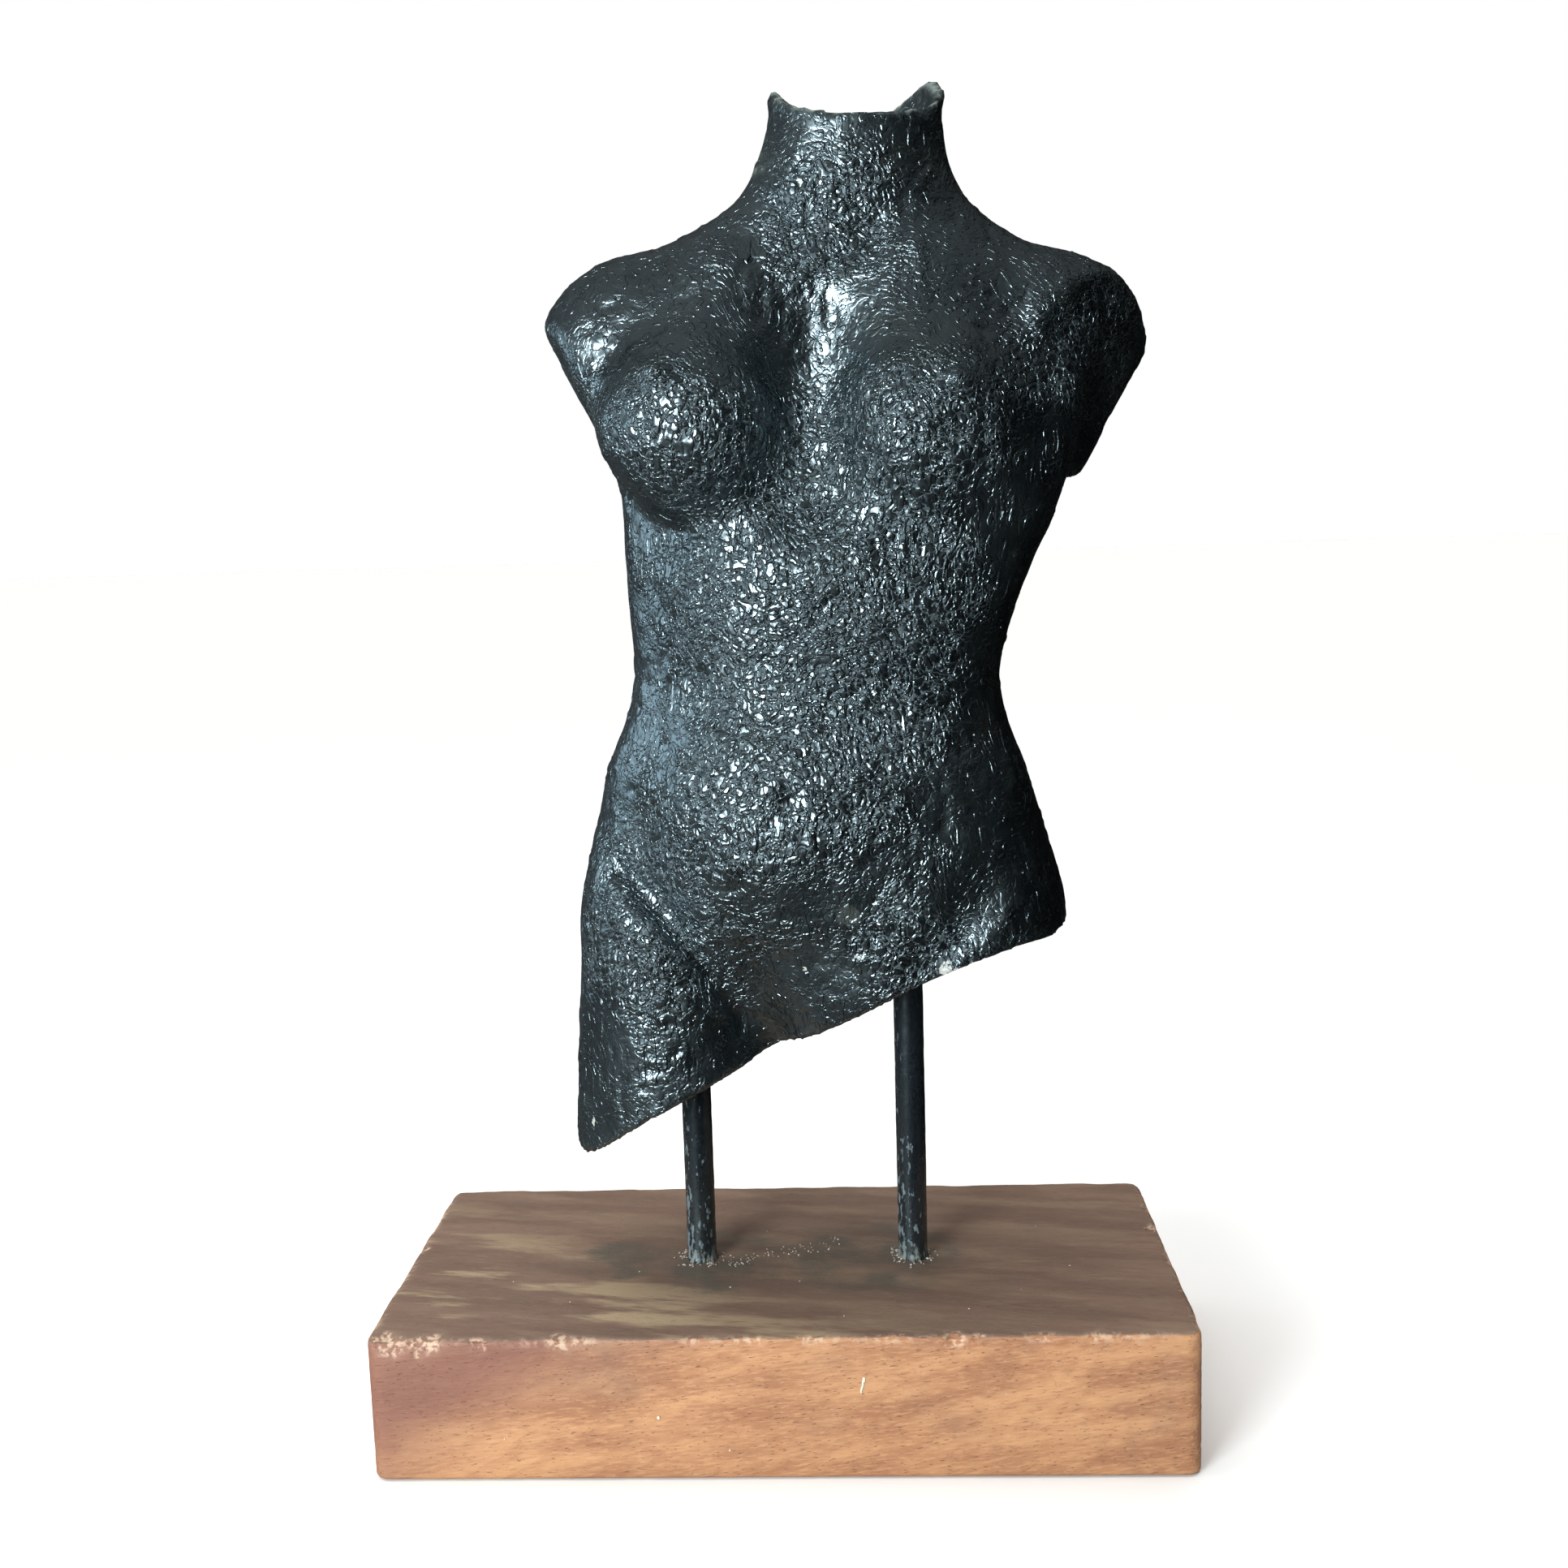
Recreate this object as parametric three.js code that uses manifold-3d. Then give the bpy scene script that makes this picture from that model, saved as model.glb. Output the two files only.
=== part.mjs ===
// Ceramic torso on two steel rods and a wooden plinth. Millimetres, +Z up, the figure faces -Y.
// The origin is the middle of the plinth's underside.
import * as THREE from 'three';
import Module from 'manifold-3d';
import { mergeVertices } from 'three/addons/utils/BufferGeometryUtils.js';

const wasm = await Module();
wasm.setup();

// Driving dimensions
const TORSO_HEIGHT = 346;
const TORSO_LIFT = 43;
const PLINTH_WIDTH = 262;
const PLINTH_DEPTH = 126;
const PLINTH_HEIGHT = 47;
const PLINTH_CORNER_RADIUS = 5;
const PLINTH_EDGE_ROUNDING = 1.6;
const ROD_DIAMETER = 10;
const ROD_SEAT_DEPTH = 26;
const ROD_BORE_DEPTH = 34;
const ROD_END_CHAMFER = 0.6;
const FIT_CLEARANCE = 0.3;
const ROD_SIDES = 24;

// The figure is laid out in units of its own, from its lowest level to its highest, and
// FIGURE turns one of those units into millimetres. Places are [right, back, up].
const LOWEST_LEVEL = 4;
const HIGHEST_LEVEL = 350;
const FIGURE = TORSO_HEIGHT / (HIGHEST_LEVEL - LOWEST_LEVEL);
const FIGURE_LEVEL_ZERO = PLINTH_HEIGHT + TORSO_LIFT - LOWEST_LEVEL * FIGURE;
const LEFT_ROD_PLACE = [-29.4, -1.5];
const RIGHT_ROD_PLACE = [43.6, -1.5];

// Size of the skin's facets, and how far a facet may stand off the true surface
const SKIN_STEP = 7.5;
const SKIN_TOLERANCE = 0.42;
const SKIN_SHORTEST_EDGE = 2.2;
const SKIN_REFINING_PASSES = 3;
const SHORTEST_KEPT_EDGE = 0.12;
const MERGE_DISTANCE = 1e-4;

// How far a cut runs past the surface that it opens
const CUT_THROUGH = 1;

const GLAZE = { color: '#1f2427', roughness: 0.34, metalness: 0.0 };
const BLACK_STEEL = { color: '#15181b', roughness: 0.5, metalness: 0.6 };
const BROWN_WOOD = { color: '#7b5036', roughness: 0.72, metalness: 0.0 };

// Stations of the trunk from the groin to the neck:
// level, centre right, half width, centre back, depth in front, depth behind, turn in degrees
const TRUNK = [
  [10, 50, 42, 2, 34, 38, 8],
  [46, 43, 52, 2, 40, 43, 10],
  [62, 37, 60, 2, 41.5, 46, 12],
  [75, 32, 65, 2, 42, 48, 13],
  [90, 23, 73, 2, 42, 47, 13],
  [104, 15, 77.5, 1.5, 41.5, 44, 13],
  [118, 14, 74, 1, 41, 39, 13],
  [132, 13.6, 70.5, 0, 39, 34, 13],
  [148, 14.2, 63.9, -1, 36, 30.5, 13],
  [162, 14.8, 61, -1, 34.5, 30, 13],
  [184, 16.9, 64.2, 0, 35, 32, 13],
  [208, 21.6, 70.2, 1, 36, 36, 13],
  [230, 26.2, 73.8, 2, 35, 39, 12],
  [250, 27.6, 75, 3, 33, 41, 11],
  [268, 29, 71, 4, 30.5, 39, 9],
  [282, 29.5, 66, 4, 28, 34, 6],
  [292, 28, 59, 4.5, 25.5, 29, 3],
  [299, 27, 52.5, 4.5, 24.5, 27, 2],
  [305, 28.2, 45, 4, 24.5, 26.5, 1],
  [311, 29.4, 38.2, 3.5, 24.5, 26, 0],
  [318, 30.4, 32.8, 3, 24, 25.5, 0],
  [328, 31.4, 29.2, 3, 23.5, 25, 0],
  [338, 32.4, 27.6, 3, 23, 24.5, 0],
  [352, 33, 26.6, 3, 23, 24.5, 0],
  [375, 33, 26.6, 3, 23, 24.5, 0],
];
const TRUNK_SQUARENESS = 2.25;

// The slanting cut that ends the thighs: [right, up], from the left thigh to the right
const LOWER_CUT = [
  [-110, 44], [-76, 17], [-72, 7.5], [-66, 4], [-58, 9], [-42, 20.5], [-20, 32], [-4, 39.6],
  [12, 47.6], [39, 62.5], [64, 73.8], [80, 78], [97, 79], [150, 86],
];

// Broken rim of the neck: middle, half widths, and the heights of its dips and two peaks
const NECK = {
  middle: [32.8, 3],
  half: [26.5, 23],
  frontDip: 336,
  backDip: 339,
  leftPeak: { bearing: 180, rise: 10.5, spread: 42 },
  rightPeak: { bearing: 24, rise: 13.6, spread: 42 },
  dishDepth: 13,
  wall: 0.27,
};

function span(x, y, z) {
  return Math.sqrt(x * x + y * y + z * z);
}

function smoothMin(a, b, blend) {
  const h = Math.max(blend - Math.abs(a - b), 0) / blend;
  return Math.min(a, b) - (h * h * blend) / 4;
}

function smoothMax(a, b, blend) {
  return -smoothMin(-a, -b, blend);
}

// Row of a table at any level, by a smooth curve through the stations. The last answer is
// kept, because the skin is worked out level by level.
const lastStation = new Map();
function station(rows, level) {
  const kept = lastStation.get(rows);
  if (kept && kept.level === level) return kept.row;
  const row = stationBetween(rows, level);
  lastStation.set(rows, { level, row });
  return row;
}

function stationBetween(rows, level) {
  let i = 0;
  while (i < rows.length - 2 && level > rows[i + 1][0]) i += 1;
  const a = rows[i];
  const b = rows[i + 1];
  const before = rows[Math.max(i - 1, 0)];
  const after = rows[Math.min(i + 2, rows.length - 1)];
  const gap = b[0] - a[0];
  const t = Math.min(Math.max((level - a[0]) / gap, 0), 1);
  const slope = (from, to, c) => (to[c] - from[c]) / (to[0] - from[0]);
  const t2 = t * t;
  const t3 = t2 * t;
  return a.map((value, c) => {
    const leaving = slope(before, b, c);
    const arriving = slope(a, after, c);
    return (2 * t3 - 3 * t2 + 1) * value + (t3 - 2 * t2 + t) * gap * leaving
      + (3 * t2 - 2 * t3) * b[c] + (t3 - t2) * gap * arriving;
  });
}

function trunkField(x, y, z) {
  const [, centreX, halfWidth, centreY, front, behind, turn] = station(TRUNK, z);
  const angle = THREE.MathUtils.degToRad(turn);
  const dx = x - centreX;
  const dy = y - centreY;
  const across = dx * Math.cos(angle) - dy * Math.sin(angle);
  const back = dx * Math.sin(angle) + dy * Math.cos(angle);
  const depth = back < 0 ? front : behind;
  const n = TRUNK_SQUARENESS;
  const reach = (Math.abs(across / halfWidth) ** n + Math.abs(back / depth) ** n) ** (1 / n);
  return (reach - 1) * Math.min(halfWidth, depth);
}

function ellipsoid(x, y, z, [cx, cy, cz], [rx, ry, rz]) {
  const k0 = span((x - cx) / rx, (y - cy) / ry, (z - cz) / rz);
  const k1 = span((x - cx) / rx ** 2, (y - cy) / ry ** 2, (z - cz) / rz ** 2);
  return k1 === 0 ? -Math.min(rx, ry, rz) : (k0 * (k0 - 1)) / k1;
}

// A limb with round ends whose radius changes evenly from one end to the other
function limb(x, y, z, [ax, ay, az], [bx, by, bz], radiusA, radiusB) {
  const [ux, uy, uz] = [bx - ax, by - ay, bz - az];
  const along = ((x - ax) * ux + (y - ay) * uy + (z - az) * uz) / (ux * ux + uy * uy + uz * uz);
  const t = Math.min(Math.max(along, 0), 1);
  const away = span(x - ax - t * ux, y - ay - t * uy, z - az - t * uz);
  return away - (radiusA + t * (radiusB - radiusA));
}

function plane(x, y, z, [px, py, pz], [nx, ny, nz]) {
  return ((x - px) * nx + (y - py) * ny + (z - pz) * nz) / span(nx, ny, nz);
}

// Arm stumps: the shoulder's ball, a short upper arm, and the flat cuts that end it, each
// with a point on it, the way it faces and the rounding of its edge
const STUMPS = [
  {
    ball: [[-42, 3, 266], [28.5, 27, 31]],
    arm: [[-46, 4, 262], [-60, 6, 240], 24, 20],
    cuts: [[[-62.4, 2, 262], [-0.86, -0.16, -0.485], 2.4]],
  },
  {
    ball: [[95, 4, 262], [31.5, 30, 31]],
    arm: [[95, 4, 259], [119, 14, 243], 29, 26],
    cuts: [
      [[83, -28, 268.5], [0.66, -0.66, -0.36], 2.4],
      [[133.8, 5, 272.5], [0.87, 0.1, -0.48], 5],
    ],
  },
];
const STUMP_BLEND = 9;

// Forms added to the body: centre, radii, and how softly each runs into it
const SWELLS = [
  { name: 'left breast', at: [-20.5, -24, 242.5], radii: [29, 28, 26.5], blend: 10 },
  { name: 'right breast', at: [51.5, -23, 240], radii: [28, 25, 26], blend: 11 },
  { name: 'belly', at: [5.5, -24, 120], radii: [36, 21, 38], blend: 16 },
  { name: 'upper belly', at: [14, -21, 188], radii: [36, 17, 34], blend: 16 },
  { name: 'left buttock', at: [-10, 26, 82], radii: [38, 27, 40], blend: 12 },
  { name: 'right buttock', at: [57, 27, 88], radii: [35, 27, 38], blend: 12 },
  { name: 'left shoulder blade', at: [2, 35, 250], radii: [21, 9, 27], blend: 15 },
  { name: 'right shoulder blade', at: [68, 35, 246], radii: [21, 9, 27], blend: 15 },
];

// Longer forms: two ends, two radii, blend
const LIMBS = [
  { name: 'left thigh', from: [-29.2, 3, 84], to: [-39.7, 3, -24], radii: [37, 33.5], blend: 7 },
  { name: 'right thigh', from: [60, 0, 82], to: [64, -2, 10], radii: [33, 31], blend: 5 },
  { name: 'left neck slope', from: [22, 8, 300], to: [-34, 5, 277], radii: [15, 19.4], blend: 8 },
  { name: 'right neck slope', from: [40, 8, 302], to: [90, 5, 272.2], radii: [15, 20.3], blend: 8 },
  { name: 'left collar bone', from: [24, -18, 290], to: [-32, -14, 281], radii: [4.5, 5], blend: 10 },
  { name: 'right collar bone', from: [42, -18, 290], to: [88, -14, 279], radii: [4.5, 5], blend: 10 },
  { name: 'left breast slope', from: [-19, -20, 247], to: [-10, -5, 280], radii: [24, 18], blend: 16 },
  { name: 'right breast slope', from: [50, -18, 245], to: [48, -5, 280], radii: [24, 18], blend: 16 },
];

// Hollows carved into the front or the back: a path of places [right, up], how far the carving
// goes in, its radius and its blend
const FRONT = -1;
const BACK = 1;
const GROOVES = [
  {
    name: 'spine',
    side: BACK,
    path: [[24, 126], [27, 190], [33, 240], [34, 286]],
    depth: 2.4,
    radius: 6,
    blend: 14,
  },
  {
    name: 'cleft',
    side: BACK,
    path: [[25, 36], [24.5, 76], [24, 112]],
    depth: 5,
    radius: 5,
    blend: 10,
  },
  {
    name: 'left groin crease',
    side: FRONT,
    path: [[-47, 105], [-24, 77], [-3, 46]],
    depth: 1.8,
    radius: 6,
    blend: 7,
  },
  {
    name: 'right groin crease',
    side: FRONT,
    path: [[69, 98], [45, 66]],
    depth: 1.8,
    radius: 6,
    blend: 8,
  },
  {
    name: 'breastbone',
    side: FRONT,
    path: [[15.5, 218], [19, 268]],
    depth: 1.5,
    radius: 9,
    blend: 14,
  },
  {
    name: 'pit of the neck',
    side: FRONT,
    path: [[33, 294], [33, 298]],
    depth: 2,
    radius: 5,
    blend: 8,
  },
  {
    name: 'navel',
    side: FRONT,
    path: [[6.2, 126], [6.6, 126]],
    depth: 1.8,
    radius: 2.6,
    blend: 4,
  },
];

// Small forms that stand on the front: place [right, up], radius, and how far it stands out
const STUDS = [
  { name: 'left nipple', place: [-27.8, 255.5], radius: 3.8, out: 3, blend: 3.5 },
  { name: 'right nipple', place: [62.6, 250.6], radius: 3.6, out: 2.6, blend: 3.5 },
];

// The body runs on a little past both cuts, so that each cut goes right through it
const BODY_FLOOR = -12;
const BODY_CEILING = 362;

// Corners of the space that the skin is looked for in, clear of the body on every side
const SKIN_LOW = [-96, -78, BODY_FLOOR - 18];
const SKIN_HIGH = [152, 84, BODY_CEILING + 18];

function plainBodyField(x, y, z) {
  let field = trunkField(x, y, z);
  for (const { from, to, radii, blend } of LIMBS) {
    field = smoothMin(field, limb(x, y, z, from, to, ...radii), blend);
  }
  for (const { ball, arm, cuts } of STUMPS) {
    const whole = smoothMin(ellipsoid(x, y, z, ...ball), limb(x, y, z, ...arm), STUMP_BLEND);
    const cut = (kept, [point, facing, edge]) => smoothMax(kept, plane(x, y, z, point, facing), edge);
    field = smoothMin(field, cuts.reduce(cut, whole), STUMP_BLEND);
  }
  for (const { at, radii, blend } of SWELLS) {
    field = smoothMin(field, ellipsoid(x, y, z, at, radii), blend);
  }
  return field;
}

// Point of the plain body's surface at a place [right, up], seen from the front or the back
function surfaceAt([x, z], side) {
  const farOut = 80;
  const halvings = 16;
  let [outside, inside] = [side * farOut, 0];
  for (let halving = 0; halving < halvings; halving += 1) {
    const middle = (outside + inside) / 2;
    if (plainBodyField(x, middle, z) > 0) outside = middle;
    else inside = middle;
  }
  return [x, outside, z];
}

// Place on the surface, moved straight out by a distance
function offSurface(place, side, distance) {
  const [x, y, z] = surfaceAt(place, side);
  return [x, y + side * distance, z];
}

const grooves = GROOVES.flatMap(({ side, path, depth, radius, blend }) => {
  const line = path.map((place) => offSurface(place, side, radius - depth));
  return line.slice(1).map((to, i) => ({ from: line[i], to, radius, blend }));
});
const studs = STUDS.map(({ place, radius, out, blend }) => (
  { at: offSurface(place, FRONT, out - radius), radius, blend }));

function bodyField(x, y, z) {
  let field = plainBodyField(x, y, z);
  for (const { at, radius, blend } of studs) {
    field = smoothMin(field, ellipsoid(x, y, z, at, [radius, radius, radius]), blend);
  }
  for (const { from, to, radius, blend } of grooves) {
    field = smoothMax(field, -limb(x, y, z, from, to, radius, radius), blend);
  }
  return Math.max(field, BODY_FLOOR - z, z - BODY_CEILING);
}

// Move a point onto the surface along the field's slope, which is measured over a short
// distance h and is never taken as flatter than a least value
function settle(field, point) {
  const h = 0.2;
  const moves = 5;
  const leastSlopeSquared = 0.05;
  let [x, y, z] = point;
  for (let move = 0; move < moves; move += 1) {
    const value = field(x, y, z);
    const gx = (field(x + h, y, z) - field(x - h, y, z)) / (2 * h);
    const gy = (field(x, y + h, z) - field(x, y - h, z)) / (2 * h);
    const gz = (field(x, y, z + h) - field(x, y, z - h)) / (2 * h);
    const scale = value / Math.max(gx * gx + gy * gy + gz * gz, leastSlopeSquared);
    x -= gx * scale;
    y -= gy * scale;
    z -= gz * scale;
  }
  return [x, y, z];
}

// Closed skin over a field that is negative inside: one point in each grid cell that the
// surface passes through, and one quad round each grid edge that it crosses
function skin(field, low, high, step) {
  const counts = low.map((value, axis) => Math.ceil((high[axis] - value) / step) + 1);
  const [nx, ny, nz] = counts;
  const index = (i, j, k) => (k * ny + j) * nx + i;
  const values = new Float64Array(nx * ny * nz);
  for (let k = 0; k < nz; k += 1) {
    for (let j = 0; j < ny; j += 1) {
      for (let i = 0; i < nx; i += 1) {
        values[index(i, j, k)] = field(low[0] + i * step, low[1] + j * step, low[2] + k * step);
      }
    }
  }
  const points = [];
  const pointOfCell = new Map();
  const corner = (n) => [n & 1, (n >> 1) & 1, (n >> 2) & 1];
  for (let k = 0; k < nz - 1; k += 1) {
    for (let j = 0; j < ny - 1; j += 1) {
      for (let i = 0; i < nx - 1; i += 1) {
        const crossings = [];
        for (let n = 0; n < 8; n += 1) {
          for (const bit of [1, 2, 4]) {
            if (n & bit) continue;
            const [a, b] = [corner(n), corner(n | bit)];
            const va = values[index(i + a[0], j + a[1], k + a[2])];
            const vb = values[index(i + b[0], j + b[1], k + b[2])];
            if (va < 0 === vb < 0) continue;
            const t = va / (va - vb);
            const cell = [i, j, k];
            crossings.push(cell.map((value, axis) => value + a[axis] + t * (b[axis] - a[axis])));
          }
        }
        if (crossings.length === 0) continue;
        const mean = [0, 1, 2].map((axis) => low[axis]
          + (step * crossings.reduce((sum, c) => sum + c[axis], 0)) / crossings.length);
        pointOfCell.set(index(i, j, k), points.length);
        points.push(settle(field, mean));
      }
    }
  }
  const triangles = [];
  const distance = (a, b) => Math.hypot(...points[a].map((value, axis) => value - points[b][axis]));
  for (let k = 1; k < nz - 1; k += 1) {
    for (let j = 1; j < ny - 1; j += 1) {
      for (let i = 1; i < nx - 1; i += 1) {
        const here = values[index(i, j, k)] < 0;
        for (let axis = 0; axis < 3; axis += 1) {
          const next = [i, j, k];
          next[axis] += 1;
          const there = values[index(...next)] < 0;
          if (here === there) continue;
          const [u, v] = [(axis + 1) % 3, (axis + 2) % 3];
          const ring = [[0, 0], [-1, 0], [-1, -1], [0, -1]].map(([du, dv]) => {
            const cell = [i, j, k];
            cell[u] += du;
            cell[v] += dv;
            return pointOfCell.get(index(...cell));
          });
          if (!here) ring.reverse();
          const [a, b, c, d] = ring;
          if (distance(a, c) < distance(b, d)) triangles.push([a, b, c], [a, c, d]);
          else triangles.push([a, b, d], [b, c, d]);
        }
      }
    }
  }
  return { points, triangles };
}

// Split the edges whose middle stands off the surface, and keep the skin closed
function refine({ points, triangles }, field, tolerance, shortest) {
  const middles = new Map();
  const middleOf = (a, b) => {
    const key = a < b ? `${a} ${b}` : `${b} ${a}`;
    if (!middles.has(key)) {
      const middle = points[a].map((value, axis) => (value + points[b][axis]) / 2);
      const length = Math.hypot(...points[a].map((value, axis) => value - points[b][axis]));
      const settled = settle(field, middle);
      const off = Math.hypot(...settled.map((value, axis) => value - middle[axis]));
      const split = off > tolerance && off < length / 2 && length > shortest;
      middles.set(key, split ? points.push(settled) - 1 : -1);
    }
    return middles.get(key);
  };
  const finer = [];
  for (const triangle of triangles) {
    const mid = [0, 1, 2].map((side) => middleOf(triangle[side], triangle[(side + 1) % 3]));
    const splits = mid.filter((m) => m >= 0).length;
    if (splits === 0) {
      finer.push(triangle);
    } else if (splits === 3) {
      const [a, b, c] = triangle;
      finer.push([a, mid[0], mid[2]], [mid[0], b, mid[1]], [mid[2], mid[1], c], mid);
    } else {
      const first = splits === 1 ? mid.findIndex((m) => m >= 0) : (mid.findIndex((m) => m < 0) + 1) % 3;
      const [a, b, c] = [0, 1, 2].map((side) => triangle[(first + side) % 3]);
      const [ab, bc] = [mid[first], mid[(first + 1) % 3]];
      if (splits === 1) finer.push([a, ab, c], [ab, b, c]);
      else finer.push([ab, b, bc], [a, ab, bc], [a, bc, c]);
    }
  }
  return { points, triangles: finer };
}

function solidFromLists(points, triangles) {
  const vertProperties = new Float32Array(points.flat());
  const triVerts = new Uint32Array(triangles.flat());
  return new wasm.Manifold(new wasm.Mesh({ numProp: 3, vertProperties, triVerts }));
}

function solidFromGeometry(geometry) {
  const bare = geometry.index ? geometry.toNonIndexed() : geometry.clone();
  bare.deleteAttribute('normal');
  bare.deleteAttribute('uv');
  const merged = mergeVertices(bare, MERGE_DISTANCE);
  const vertProperties = new Float32Array(merged.attributes.position.array);
  const triVerts = new Uint32Array(merged.index.array);
  return new wasm.Manifold(new wasm.Mesh({ numProp: 3, vertProperties, triVerts }));
}

// Draw the two ends of every edge shorter than the given length together
function weld(points, triangles, shortest) {
  const home = points.map((unused, id) => id);
  const homeOf = (id) => (home[id] === id ? id : homeOf(home[id]));
  for (const triangle of triangles) {
    for (let side = 0; side < 3; side += 1) {
      const [a, b] = [homeOf(triangle[side]), homeOf(triangle[(side + 1) % 3])];
      const [p, q] = [points[a], points[b]];
      const close = span(p[0] - q[0], p[1] - q[1], p[2] - q[2]) < shortest;
      if (a !== b && close) home[Math.max(a, b)] = Math.min(a, b);
    }
  }
  const moved = triangles.map((triangle) => triangle.map(homeOf));
  return moved.filter(([a, b, c]) => a !== b && b !== c && c !== a);
}

function geometryFromSolid(solid) {
  const mesh = solid.getMesh();
  const inThrees = (list) => Array.from({ length: list.length / 3 }, (unused, i) => (
    [...list.slice(3 * i, 3 * i + 3)]));
  const points = inThrees(mesh.vertProperties);
  const triangles = inThrees(mesh.triVerts);
  const welded = solidFromLists(points, weld(points, triangles, SHORTEST_KEPT_EDGE)).getMesh();
  const geometry = new THREE.BufferGeometry();
  geometry.setAttribute('position', new THREE.BufferAttribute(new Float32Array(welded.vertProperties), 3));
  geometry.setIndex(new THREE.BufferAttribute(new Uint32Array(welded.triVerts), 1));
  geometry.computeVertexNormals();
  return geometry;
}

// Height of the diagonal cut above level zero, at a place across the figure
function lowerCutLevel(across) {
  return station(LOWER_CUT, across)[1];
}

// Everything below the diagonal cut, as a block as wide and deep as the figure
function belowTheCut() {
  const floor = -80;
  const depth = 200;
  const left = LOWER_CUT[0][0];
  const right = LOWER_CUT[LOWER_CUT.length - 1][0];
  const outline = LOWER_CUT.slice(1).flatMap(([end], i) => {
    const start = LOWER_CUT[i][0];
    return [start, (start + end) / 2].map((across) => new THREE.Vector2(across, lowerCutLevel(across)));
  });
  outline.push(new THREE.Vector2(right, lowerCutLevel(right)));
  outline.push(new THREE.Vector2(right, floor), new THREE.Vector2(left, floor));
  const block = new THREE.ExtrudeGeometry(new THREE.Shape(outline), { depth, bevelEnabled: false });
  block.translate(0, 0, -depth / 2);
  block.rotateX(Math.PI / 2);
  return solidFromGeometry(block);
}

// Angle between two bearings, in degrees
function bearingsApart(a, b) {
  const turned = THREE.MathUtils.euclideanModulo(a - b, 360);
  return Math.min(turned, 360 - turned);
}

// Level of the neck's broken top: a dished saddle with a peak at each side
function neckTopLevel(x, y) {
  const { middle, half, frontDip, backDip, leftPeak, rightPeak, dishDepth, wall } = NECK;
  const u = (x - middle[0]) / half[0];
  const v = (y - middle[1]) / half[1];
  const out = Math.hypot(u, v);
  const bearing = THREE.MathUtils.radToDeg(Math.atan2(v, u));
  const peak = ({ bearing: at, rise, spread }) => (
    rise * Math.exp(-((bearingsApart(bearing, at) / spread) ** 2)));
  const rim = (frontDip + backDip) / 2 + ((backDip - frontDip) / 2) * (out > 0 ? v / out : 0);
  const peaks = (peak(leftPeak) + peak(rightPeak)) * Math.min(out, 1) ** 2;
  const inside = Math.min(Math.max((1 - out) / wall, 0), 1);
  return rim + peaks - dishDepth * inside * inside * (3 - 2 * inside);
}

// Everything above the broken top, as a lid on a grid of rings round the neck's middle
function aboveTheNeck() {
  const rings = 9;
  const spokes = 36;
  const reach = 1.7;
  const ceiling = 400;
  const points = [];
  const triangles = [];
  const add = (x, y, z) => points.push([x, y, z]) - 1;
  const under = [];
  for (let ring = 1; ring <= rings; ring += 1) {
    const out = (reach * ring) / rings;
    under.push(Array.from({ length: spokes }, (unused, spoke) => {
      const angle = (2 * Math.PI * spoke) / spokes;
      const x = NECK.middle[0] + NECK.half[0] * out * Math.cos(angle);
      const y = NECK.middle[1] + NECK.half[1] * out * Math.sin(angle);
      return add(x, y, neckTopLevel(x, y));
    }));
  }
  const rim = under[rings - 1];
  const upper = rim.map((id) => add(points[id][0], points[id][1], ceiling));
  const [mx, my] = NECK.middle;
  const lowCentre = add(mx, my, neckTopLevel(mx, my));
  const highCentre = add(mx, my, ceiling);
  for (let spoke = 0; spoke < spokes; spoke += 1) {
    const next = (spoke + 1) % spokes;
    triangles.push([lowCentre, under[0][next], under[0][spoke]]);
    triangles.push([highCentre, upper[spoke], upper[next]]);
    triangles.push([rim[spoke], rim[next], upper[next]], [rim[spoke], upper[next], upper[spoke]]);
    for (let ring = 1; ring < rings; ring += 1) {
      const [inner, outer] = [under[ring - 1], under[ring]];
      triangles.push([inner[spoke], outer[next], outer[spoke]], [inner[spoke], inner[next], outer[next]]);
    }
  }
  return solidFromLists(points, triangles);
}

const rodPlaces = [LEFT_ROD_PLACE, RIGHT_ROD_PLACE].map(([across, back]) => ({
  x: across * FIGURE,
  y: back * FIGURE,
  foot: PLINTH_HEIGHT - ROD_SEAT_DEPTH,
  head: FIGURE_LEVEL_ZERO + lowerCutLevel(across) * FIGURE + ROD_BORE_DEPTH,
}));

// A hole for a rod, one clearance wider all round
function boreSolid({ x, y }, bottom, top) {
  const radius = ROD_DIAMETER / 2 + FIT_CLEARANCE;
  const bore = new THREE.CylinderGeometry(radius, radius, top - bottom, ROD_SIDES);
  bore.rotateX(Math.PI / 2);
  bore.translate(x, y, (top + bottom) / 2);
  return solidFromGeometry(bore);
}

function torsoGeometry() {
  let shell = skin(bodyField, SKIN_LOW, SKIN_HIGH, SKIN_STEP);
  for (let pass = 0; pass < SKIN_REFINING_PASSES; pass += 1) {
    shell = refine(shell, bodyField, SKIN_TOLERANCE, SKIN_SHORTEST_EDGE);
  }
  const body = solidFromLists(shell.points, shell.triangles);
  let torso = body.subtract(belowTheCut()).subtract(aboveTheNeck());
  torso = torso.scale([FIGURE, FIGURE, FIGURE]).translate([0, 0, FIGURE_LEVEL_ZERO]);
  for (const rod of rodPlaces) {
    torso = torso.subtract(boreSolid(rod, PLINTH_HEIGHT, rod.head + FIT_CLEARANCE));
  }
  return geometryFromSolid(torso);
}

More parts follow.
